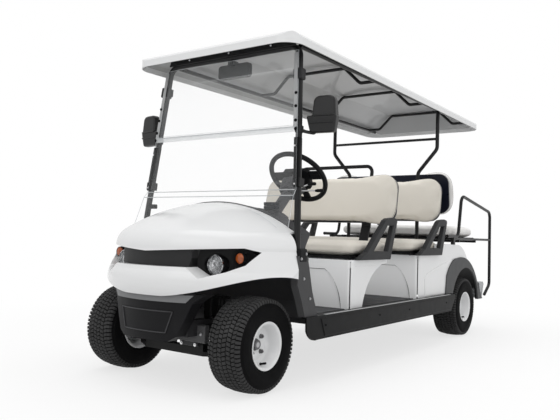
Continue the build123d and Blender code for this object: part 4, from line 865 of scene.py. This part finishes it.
def seamed(piece, axis, height, depth=0.003, reach=0.009):
    """Draw the cover in along a level seam and lay a cord of piping in it."""
    for vertex in piece.data.vertices:
        near = 1 - min(1, abs(vertex.co[axis] - height) / reach)
        if near > 0:
            inward = Vector(vertex.normal)
            inward[axis] = 0
            vertex.co -= inward * depth * near
    ring = copied(piece, piece.name + "_piping")
    normal, place = ([value if other == axis else 0 for other in range(3)] for value in (1, height))
    open_piece(ring, "SELECT")
    bpy.ops.mesh.bisect(plane_co=place, plane_no=normal, clear_inner=True, clear_outer=True)
    shut_piece()
    apply_modifier(ring, "SMOOTH", factor=0.5, iterations=8)
    return corded(ring, PIPING_R, 2)


CUSHION_BOX = (1.044, 0.525, 0.092)
BACK_BOX = (1.058, 0.062, 0.331)
BACK_TILT = math.radians(8)
PAN_GAP = 0.0005


def upholster(twin, row, kind, label, body, node):
    """Finish one copy of a filled cover or of its piping and hand it over."""
    if label == kind:
        apply_modifier(twin, "SUBSURF", levels=1, render_levels=1)
        smooth(twin, 80)
        # The rear seat wears a paler copy of the cream vinyl as painted light.
        vinyl_finish = "pale_cream" if row == "rear" else "cream"
        hand_over(twin, body, vinyl_finish, [node])
    else:
        hand_over(twin, body, "piping")


def seat_cushions():
    """Three cushions from one filled form, each drawn out to its own width and depth."""
    cover = pad("cushion", CUSHION_BOX, 0.055, 0.026, 0.0105, 4, 0.003)
    piping = seamed(cover, 2, -0.026)
    # row, half width, front, depth, underside
    for row, half, front, depth, low in (
        ("front", 0.522, 0.772, 0.525, 0.642),
        ("middle", 0.522, 1.6, 0.47, 0.66),
        ("rear", 0.5, 2.425, 0.465, 0.772),
    ):
        for source, label in ((cover, "cushion"), (piping, "cushion_piping")):
            twin = copied(source, f"{row}_seat_{label}")
            twin.scale = (half * 2 / CUSHION_BOX[0], depth / CUSHION_BOX[1], 1)
            placed(twin, cart(0, front + depth / 2, low + CUSHION_BOX[2] / 2))
            if label == "cushion":
                for vertex in twin.data.vertices:
                    vertex.co.z = max(vertex.co.z, low + PAN_GAP)
            upholster(twin, row, "cushion", label, f"{row}_seat", f"{row}_cushion")
    erase(cover)
    erase(piping)


def seat_backs():
    """Three backs from one filled form, leaned away from the rider."""
    cover = pad("back", BACK_BOX, 0.105, 0.018, 0.0085, 1.6, 0.0008)
    piping = seamed(cover, 1, -0.002)
    # row, face, underside, 1 where it looks to the rear
    for row, face, low, rearward in (
        ("front", 1.312, 0.85, 0),
        ("middle", 2.06, 0.888, 0),
        ("rear", 2.4, 0.955, 1),
    ):
        for source, label in ((cover, "pad"), (piping, "piping")):
            twin = copied(source, f"{row}_back_{label}", (0, BACK_BOX[1] / 2, BACK_BOX[2] / 2 - 0.003))
            placed(twin, (0, 0, 0), (-BACK_TILT, 0, 0))
            placed(twin, cart(0, face, low), (0, 0, math.pi * rearward))
            upholster(twin, row, "pad", label, "chassis", f"{row}_backrest")
    erase(cover)
    erase(piping)


seat_cushions()
seat_backs()


# ---- lamps
# Sections of a round lamp that faces along +X, as shares of its radius: part, segments, then the rings.
LAMP_SECTIONS = (
    ("housing", 40, (
        (-1.22, 0), (-1.22, 0.6), (-0.9, 0.98), (-0.02, 0.99), (-0.02, 0.95), (-0.88, 0.93), (-1.16, 0))),
    ("reflector", 18, (
        (-0.72, 0), (-0.70, 0.28), (-0.52, 0.52), (-0.46, 0.55), (-0.3, 0.76), (-0.24, 0.78), (-0.04, 0.92),
        (-0.06, 0.945), (-0.5, 0.72), (-0.78, 0.3), (-0.78, 0))),
    ("bulb", 20, ((-0.7, 0), (-0.7, 0.2), (-0.4, 0.22), (-0.2, 0.2), (-0.1, 0.12), (-0.08, 0))),
    ("bezel", 48, ((-0.06, 0.9), (0.05, 0.9), (0.1, 0.94), (0.08, 0.99), (-0.06, 0.99), (-0.06, 0.9))),
    ("cover", 24, ((0, 0.9), (0.07, 0.84), (0.14, 0.6), (0.185, 0.3), (0.195, 0))),
)


def lamps():
    # kind, radius, place, node, finish of bezel, slot and finish of lens
    for kind, size, place, node, bezel, lens_slot, lens_finish in (
        ("headlamp", 0.049, (0.316, -0.15, 0.604), "headlamps", "chrome", "lamp_clear", "clear_lens"),
        ("turn_lamp", 0.028, (0.421, -0.098, 0.638), "turn_lamps", "well", "lamp_amber", "amber_lens"),
    ):
        looks = {"housing": ("black_plastic", "well"), "reflector": ("bare_steel", "chrome"),
                 "bulb": ("bare_steel", "chrome"), "cover": (lens_slot, lens_finish),
                 "bezel": ("bare_steel" if bezel == "chrome" else "black_plastic", bezel)}
        for label, segments, rings in LAMP_SECTIONS:
            piece = turned(label, [(x * size, radius * size) for x, radius in rings], segments)
            if label == "cover":
                apply_modifier(piece, "SOLIDIFY", thickness=0.0022, offset=-1)
            elif label != "reflector":
                smooth(piece, 40)
            placed(piece, cart(*place), FACING_FRONT)
            both_sides(piece, f"{kind}_{label}", *looks[label], [node] if label == "cover" else [])


lamps()


# ---- screen, pillars and roof front
LEAN = math.radians(5.78)
HOOD_CREST = 0.926
HOOD_R = 0.984
PILLAR_FOOT = (0.556, 0.181, 0.655)
PILLAR_TOP = (0.466, 0.2911, 1.743)
SHOE_X = 0.575
SILL_X = 0.5915
# From the middle of the hood's sphere back to its rear crest.
CREST_SETBACK = 0.081


def on_pillar(z, side=1, ahead=0, inward=0):
    """A place on the pillar's axis at a height, or ahead of it or inside it."""
    share = (z - PILLAR_FOOT[2]) / (PILLAR_TOP[2] - PILLAR_FOOT[2])
    x = PILLAR_FOOT[0] + (PILLAR_TOP[0] - PILLAR_FOOT[0]) * share - inward
    y = PILLAR_FOOT[1] + (PILLAR_TOP[1] - PILLAR_FOOT[1]) * share - ahead
    return cart(side * x, y, z)


def leaning_slab(name, low, high, width, depth, side, ahead=0, inward=0):
    """A block laid along the pillar between two heights."""
    start = Vector(on_pillar(low, side, ahead, inward))
    end = Vector(on_pillar(high, side, ahead, inward))
    run = end - start
    half = run.length / 2
    piece = slab(name, (-width / 2, -depth / 2, -half), (width / 2, depth / 2, half))
    across = -side * math.atan2(PILLAR_FOOT[0] - PILLAR_TOP[0], PILLAR_TOP[2] - PILLAR_FOOT[2])
    return placed(piece, (start + end) / 2, (-LEAN, across, 0))


# Piece, low and high end, width, depth, ahead, inward, edge, segments, slot, finish.
PILLAR_PIECES = (
    ("screen_edge", 1.305, 1.70, 0.021, 0.005, 0.0295, 0.004, 0.0018, 2, "grey_metal", "pale_trim"),
    ("pillar_channel", 0.992, 1.252, 0.031, 0.036, 0.006, 0, 0.004, 2, "black_plastic", "well"),
    ("pillar_clamp", 1.556, 1.616, 0.052, 0.046, 0.006, -0.003, 0.007, 3, "black_plastic", "charcoal"),
    ("mirror_strap", 1.276, 1.314, 0.036, 0.034, 0, -0.002, 0.005, 2, "black_plastic", "charcoal"),
)


def pillar_trim():
    for side, label in SIDES:
        for kind, low, high, width, depth, ahead, inward, edge, segments, slot, finish in PILLAR_PIECES:
            piece = leaning_slab(f"{kind}_{label}", low, high, width, depth, side, ahead, inward)
            trim(piece, edge, segments, finish)
        block(f"pillar_shoe_{label}", (side * SHOE_X - 0.014, 0.158, 0.62),
              (side * SHOE_X + 0.014, 0.232, 0.69), 0.012, 3, "black_plastic", "black")
        bolts(f"screen_plug_{label}", [on_pillar(z, side, 0.031) for z in (1.483, 1.413, 1.338, 1.294)],
              0.0085, 0.008, FACING_FRONT, "well")
        bolts(f"channel_bolt_{label}", [on_pillar(z, side, 0.0255, 0.006 * side) for z in (1.012, 1.208)],
              0.0048, 0.005, FACING_FRONT, "bright_bolt")
        facing = FACING_LEFT if side == 1 else FACING_RIGHT
        feet = ((0.589, 0.172, 0.64), (0.589, 0.214, 0.664), (0.5865, 0.203, 0.541), (0.5865, 0.262, 0.44))
        bolts(f"pillar_foot_bolt_{label}", [cart(side * x, y, z) for x, y, z in feet],
              0.0075, 0.006, facing, "steel")
        bolts(f"sill_bolt_{label}", [cart(side * 0.604, y, 0.299) for y in (0.394, 1.003, 1.419, 2.057)],
              0.006, 0.004, facing, "well")


def screen_lines():
    """Pale folds of the lower sheet, which are painted highlights, its catch, and the clear joint strip
    where the two sheets meet, which wears a painted highlight too.
    """
    x, y, z = on_pillar(0.9, -1)
    catch = slab("screen_catch", (x, y - 0.013, z - 0.013), (x + 0.062, y + 0.013, z + 0.013))
    trim(catch, 0.004, 2, "black")
    block("screen_joint", (-0.498, 0.2118, 1.279), (0.498, 0.2165, 1.302), 0.0015, 2,
          "clear_sheet", "frosted")
    # name, half length, y, z, radius
    for name, half, y, z, radius in (("screen_fold_high", 0.524, 0.1905, 0.983, 0.0024),
                                     ("screen_fold_low", 0.532, 0.1655, 0.952, 0.0024),
                                     ("screen_joint_lip", 0.498, 0.213, 1.3045, 0.0026)):
        fold = bar(name, [cart(x, y, z) for x in (-half, 0, half)], radius, sides=2)
        hand_over(fold, "chassis", "pale_edge")


def roof_rail():
    """Dark strip between the front bar and the roof, with its three screws."""
    rail = slab("roof_front_rail", cart(-0.462, 0.262, 1.741), cart(0.462, 0.268, 1.787))
    drawn(rail, "VERT", lambda v: v.z > 1.77, (0.955, 1, 1))
    trim(rail, 0.004, 2, "tube")
    bolts("roof_rail_screw", [cart(x, 0.262, 1.762) for x in (-0.296, 0.003, 0.296)],
          0.0055, 0.005, FACING_FRONT, "bright_bolt")


def hood_seal():
    """Dark rubber bead along the rear crest of the hood."""
    reach = math.sqrt(HOOD_R ** 2 - CREST_SETBACK ** 2)
    deselect()
    bpy.ops.mesh.primitive_circle_add(vertices=220, radius=reach + 0.001, rotation=(math.radians(90), 0, 0),
                                      location=cart(0, 0.2025, HOOD_CREST - HOOD_R))
    seal = named("hood_seal")
    open_piece(seal)
    pick(seal, "VERT", lambda v: abs(v.x) > 0.52 or v.z < 0.2)
    bpy.ops.mesh.delete(type="VERT")
    shut_piece()
    corded(seal, 0.0042, 2)
    hand_over(seal, "chassis", "charcoal")


# ---- steering, dash and front underside
STEER_HUB = (0.285, 0.572, 1.085)
STEER_TURN = (math.radians(-45), 0, 0)


def on_column(piece, body, finish):
    hand_over(placed(piece, cart(*STEER_HUB), STEER_TURN), body, finish)


def steering():
    """Wrapped grip and a spoked cover on the wheel, a shroud round the column below it."""
    deselect()
    bpy.ops.mesh.primitive_torus_add(
        major_radius=0.168, minor_radius=0.0142, major_segments=72, minor_segments=16)
    grip = named("steering_grip")
    smooth(grip, 80)
    spokes = slab("spokes", (-0.157, -0.047, -0.0075), (0.157, -0.009, 0.0085))
    drawn(spokes, "FACE", lambda m: abs(m.x) > 0.15, (1, 0.62, 0.7), (0, -0.026, 0))
    soften(spokes, 0.004, 2)
    boss = slab("boss", (-0.088, -0.05, -0.01), (0.088, 0.082, 0.0205))
    drawn(boss, "VERT", lambda v: v.y > 0, (0.72, 1, 1))
    soften(boss, 0.02, 5, lambda m: abs(m.x) > 0.06 and abs(m.z - 0.005) < 0.002)
    soften(boss, 0.005, 3, lambda m: abs(m.z - 0.0205) < 0.001)
    for piece in (grip, joined("steering_cover", [spokes, boss])):
        on_column(piece, "steering_wheel", "black")
    shroud = slab("column_shroud", (-0.062, -0.046, -0.15), (0.062, 0.058, -0.046))
    drawn(shroud, "VERT", lambda v: v.z < -0.1, (0.72, 0.78, 1))
    soften(shroud, 0.012, 3)
    on_column(shroud, "chassis", "shroud")
    # place across, down the wheel and behind it, then the far end
    for label, start, end in (("lamp", (0.05, 0.03, -0.085), (0.135, 0.052, -0.06)),
                              ("gear", (0.05, 0, -0.1), (0.12, -0.01, -0.075))):
        middle = [(a + b) / 2 for a, b in zip(start, end)]
        lever = bar(f"{label}_lever", [start, middle, end], 0.0042, sides=2)
        knob = turned(f"{label}_lever_knob", [(-0.012, 0), (-0.012, 0.006), (0, 0.0095), (0.03, 0.0095),
                                              (0.036, 0.006), (0.037, 0)], 16)
        smooth(knob, 40)
        placed(knob, end, (0, -0.25, 0.2))
        on_column(lever, "chassis", "bright_bolt")
        on_column(knob, "chassis", "black")


# The two levels of the dash's low shroud, the step between them and its inner end.
SHROUD_LEVELS = (0.893, 0.868)
SHROUD_STEP_X = 0.29
SHROUD_END_X = 0.243


def dash_moulding():
    """The dash with its pod drawn down to a low shroud, and a small switch box on it."""
    shell = copied(NODES["dash"], "dash_moulding")
    low, high = cart(0.2, 0.27, 0.84), cart(0.37, 0.38, 0.94)
    for vertex in shell.data.vertices:
        x, y, z = vertex.co
        hood = HOOD_CREST - HOOD_R + math.sqrt(HOOD_R ** 2 - x * x)
        if all(a < b < c for a, b, c in zip(low, vertex.co, high)) and z > hood:
            vertex.co.z = SHROUD_LEVELS[0 if x < SHROUD_STEP_X else 1]
            vertex.co.x = max(x, SHROUD_END_X)
    hand_over(shell, "chassis", "shroud", ["dash"])
    for label, bottom in (("lower", 0.889), ("upper", 0.9085)):
        block(f"switch_box_{label}", (0.256, 0.292, bottom), (0.334, 0.332, bottom + 0.0185),
              0.003, 2, "black_plastic", "switch")


def front_beam():
    """Box beam behind the bumper that carries the front suspension, with its bolts."""
    block("front_beam", (-0.25, -0.135, 0.222), (0.25, -0.1, 0.308), 0.006, 3, "frame_metal", "lit_beam")
    for side, label in SIDES:
        block(f"beam_lug_{label}", (side * 0.14 - 0.06, -0.13, 0.2), (side * 0.14 + 0.06, -0.105, 0.226),
              0.005, 2, "frame_metal", "beam")
        for finish, spread, y, z, first in (("bright_bolt", (0.095, 0.185), -0.1315, 0.21, 1),
                                            ("steel", (0.13, 0.225), -0.136, 0.266, 3)):
            bolts(f"beam_bolt_{label}", [cart(side * x, y, z) for x in spread], 0.0085, 0.007, FACING_FRONT,
                  finish, first=first)


BUMPER_MIDDLE = 0.281
BUMPER_R = 0.5862


def bumper_border():
    """Raised bead round the bumper's inset panel, bent to the bumper's curve, paler than the bumper as a
    painted highlight along the panel's edge.
    """
    corners = ((-0.172, 0.379), (0.172, 0.379), (0.138, 0.279), (-0.138, 0.279))
    points = []
    for (x0, z0), (x1, z1) in zip(corners, corners[1:] + corners[:1]):
        for step in range(8):
            x, z = x0 + (x1 - x0) * step / 8, z0 + (z1 - z0) * step / 8
            points.append(cart(x, BUMPER_MIDDLE - math.sqrt(BUMPER_R ** 2 - x * x), z))
    # The bead is paler than the bumper: a painted highlight on the panel's edge.
    bead = bar("bumper_edge_highlight", points + points[:1], 0.0034, sides=2)
    hand_over(bead, "chassis", "shroud")


# Foot, elbow and shoulder of the seat bases' panel, as (x, z).
LEG_ARCH = ((0.484, 0.345), (0.468, 0.506), (0.372, 0.566))


def base_seams():
    """Dark cord of painted shade along the crease round the arched panel in the front of each seat base,
    and a pale strip of painted highlight on each sill.
    """
    arch = []
    for t in (step / 8 for step in range(9)):
        shares = ((1 - t) ** 2, 2 * t * (1 - t), t * t)
        arch.append([sum(share * place[axis] for share, place in zip(shares, LEG_ARCH)) for axis in (0, 1)])
    path = arch + [(-x, z) for x, z in reversed(arch)]
    # A dark cord is painted shade along the crease round each base's panel.
    for row, y in (("front", 0.7475), ("rear", 1.6825)):
        seam = bar(f"{row}_base_crease_shade", [cart(x, y, z) for x, z in path], PIPING_R, sides=2)
        hand_over(seam, "chassis", "charcoal")
    # A pale strip along each sill's top edge is a painted highlight.
    for side, label in SIDES:
        block(f"sill_strip_{label}", (side * SILL_X - 0.0075, 0.4, 0.3495),
              (side * SILL_X + 0.0075, 2.15, 0.3525), 0.001, 2, "bare_steel", "pale_trim")


steering()
base_seams()
dash_moulding()
front_beam()
bumper_border()
pillar_trim()
screen_lines()
roof_rail()
hood_seal()


# ---- mirrors
MIRROR_PLACE = (0.612, 0.292, 1.276)
MIRROR_TURN = (0, 0, math.radians(8))


def mirror_shells():
    """Two rounded shells, one on the other, with two creases, on an elbowed arm."""
    upper = slab("mirror_shell_upper", (-0.05, -0.028, 0.072), (0.083, 0.024, 0.188))
    drawn(upper, "VERT", lambda v: v.z > 0.15, (0.86, 0.82, 1), (0.02, 0, 0.18))
    soften(upper, 0.03, 6, lambda m: m.z > 0.12 and abs(m.x - 0.0165) > 0.04 and abs(m.y) < 0.01)
    soften(upper, 0.012, 4, lambda m: m.y < -0.015)
    soften(upper, 0.004, 2, lambda m: m.y > 0.018)
    lower = slab("mirror_shell_lower", (-0.08, -0.03, 0), (0.088, 0.026, 0.088))
    drawn(lower, "VERT", lambda v: v.z < 0.03, (0.8, 0.8, 1), (0.02, 0.01, 0))
    soften(lower, 0.012, 4)
    creases = []
    for z, low, high in ((0.05, -0.064, 0.076), (0.086, -0.046, 0.078)):
        crease = slab("crease", (low, -0.0325, z - 0.004), (high, -0.02, z + 0.004))
        soften(crease, 0.0032, 3)
        creases.append(crease)
    shell = joined("mirror_shell", [upper, lower] + creases)
    placed(shell, cart(*MIRROR_PLACE), MIRROR_TURN)
    route = ((0.508, 0.246, 1.294), (0.536, 0.262, 1.282), (0.572, 0.288, 1.276), (0.572, 0.29, 1.3))
    arm = bar("mirror_arm", [cart(*place) for place in route], 0.0088, 0.008)
    both_sides(shell, "mirror_shell", "black_plastic", "shell", ["side_mirrors"])
    both_sides(arm, "mirror_arm", "black_plastic", "shell")


def mirror_faces():
    """Silvered plates set in the rear of each mirror housing."""
    # label, low and high corner before the housing's small turn
    plates = (("lower", (-0.06, 0.0235, 0.014), (0.072, 0.0272, 0.074)),
              ("upper", (-0.034, 0.0215, 0.094), (0.068, 0.0252, 0.168)))
    for label, low, high in plates:
        plate = slab("plate", low, high)
        soften(plate, 0.012, 4, lambda m: abs(m.y - (low[1] + high[1]) / 2) < 0.0005)
        placed(plate, cart(*MIRROR_PLACE), MIRROR_TURN)
        both_sides(plate, f"mirror_{label}", "bare_steel", "mirror")
    y = PILLAR_TOP[1] + 0.034
    plate = slab("cabin_mirror_face", cart(-0.104, y + 0.0115, 1.64), cart(0.104, y + 0.0145, 1.704))
    soften(plate, 0.016, 4, lambda m: abs(m.y - (y + AXLE_TO_MIDDLE + 0.013)) < 0.0005)
    hand_over(plate, "chassis", "mirror")


mirror_shells()
mirror_faces()


# ---- floor, light and camera
CAMERA_AZIMUTH = math.radians(35.6394)
CAMERA_TILT = math.radians(-2.1641)
CAMERA_ROLL = math.radians(1.6461)
CAMERA_PLACE = Vector((2.3444, -2.4677 + AXLE_TO_MIDDLE, 0.7566))
PICTURE_WIDTH = 560
FOCAL_WIDTHS = 646.36 / PICTURE_WIDTH
SENSOR_WIDTH = 36
FLOOR_COLOR = (0.92, 0.92, 0.92)
FLOOR_BOUNCE = (0.66, 0.66, 0.66)
FLOOR_WHITE = 0.7
FLOOR_FADE = (1.8, 3.6)
WORLD_LIGHT = 0.82


def set_camera():
    a, e, r = CAMERA_AZIMUTH, CAMERA_TILT, CAMERA_ROLL
    back = Vector((math.sin(a) * math.cos(e), -math.cos(a) * math.cos(e), math.sin(e)))
    right = (-back).cross(Vector((0, 0, 1))).normalized()
    up = right.cross(-back)
    side = right * math.cos(r) + up * math.sin(r)
    top = -right * math.sin(r) + up * math.cos(r)
    data = bpy.data.cameras.new("view")
    data.lens = FOCAL_WIDTHS * SENSOR_WIDTH
    data.sensor_width = SENSOR_WIDTH
    data.clip_end = 100
    camera = bpy.data.objects.new("view", data)
    show(camera)
    camera.matrix_world = Matrix((side, top, back)).transposed().to_4x4()
    camera.location = CAMERA_PLACE
    bpy.context.scene.camera = camera


def set_floor():
    """Pale floor that turns white away from the cart and keeps the cart's shadow."""
    deselect()
    bpy.ops.mesh.primitive_plane_add(size=80, location=(0, 0, 0))
    bpy.ops.object.mode_set(mode="EDIT")
    bpy.ops.mesh.subdivide(number_cuts=3)
    bpy.ops.object.mode_set(mode="OBJECT")
    floor = named("studio_floor")
    f = Finish("studio_floor", FLOOR_COLOR, Roughness=0.9, Specular_IOR_Level=0)
    seen = f.seen_directly()
    f.paint(seen, FLOOR_BOUNCE, FLOOR_COLOR)
    white = f.node("Emission", inputs={"Color": (1, 1, 1, 1), "Strength": 1})
    reach = f.node("VectorMath", {"operation": "LENGTH"}, {0: f.place()}, output=1)
    share = FLOOR_WHITE + f.band(reach, *FLOOR_FADE) * (1 - FLOOR_WHITE)
    painted = f.node("MixShader", inputs={0: seen * share, 1: Value(f, f.shader.outputs[0]), 2: white})
    f.tree.links.new(painted.socket, f.output.inputs[0])
    floor.data.materials.append(f.material)


def set_light(name, place, target, size, power, glossy=False):
    data = bpy.data.lights.new(name, "AREA")
    data.shape = "RECTANGLE"
    data.size, data.size_y = size
    data.energy = power
    lamp = bpy.data.objects.new(name, data)
    show(lamp)
    lamp.location = place
    lamp.visible_camera = False
    lamp.visible_glossy = glossy
    lamp.rotation_euler = (Vector(target) - Vector(place)).to_track_quat("-Z", "Y").to_euler()


def set_world():
    """Even studio light; seen directly or through glass it is plain white."""
    world = bpy.data.worlds.new("studio")
    world.use_nodes = True
    nodes, link = world.node_tree.nodes, world.node_tree.links.new
    backgrounds = nodes["Background"], nodes.new("ShaderNodeBackground")
    for background, strength in zip(backgrounds, (WORLD_LIGHT, 1)):
        background.inputs[0].default_value = (1, 1, 1, 1)
        background.inputs[1].default_value = strength
    path, either, mix = (nodes.new("ShaderNode" + kind) for kind in ("LightPath", "Math", "MixShader"))
    either.operation = "MAXIMUM"
    for count, ray in enumerate(("Camera", "Transmission")):
        link(path.outputs[f"Is {ray} Ray"], either.inputs[count])
    for count, node in enumerate((either, *backgrounds)):
        link(node.outputs[0], mix.inputs[count])
    link(mix.outputs[0], nodes["World Output"].inputs[0])
    bpy.context.scene.world = world


set_camera()
set_floor()
set_world()
set_light("overhead", (0, -0.6, 7.5), (0, -0.2, 0), (5, 7), 125, True)
set_light("near_side", (5, -0.4, 2.4), (0, 0, 0.8), (5, 3), 16, True)
set_light("low_front", (3.2, -5, 0.9), (0.2, 0, 0.6), (3, 1.6), 5)
set_light("front", (0.5, -6, 3.4), (0, 0, 1), (4, 3), 24, True)
set_light("front_footwell", (0.1, 0.45 + AXLE_TO_MIDDLE, 0.6), (0.1, 3, 0.3), (1, 0.35), 0.9)
set_light("rear_footwell", (0.1, 1.42 + AXLE_TO_MIDDLE, 0.55), (0.1, 4, 0.3), (1, 0.3), 0.65)
set_light("under_roof", (0.1, 0.15, 1.62), (0.1, 0.15, 0), (0.7, 2.7), 12)
bpy.context.scene.view_settings.view_transform = "Standard"
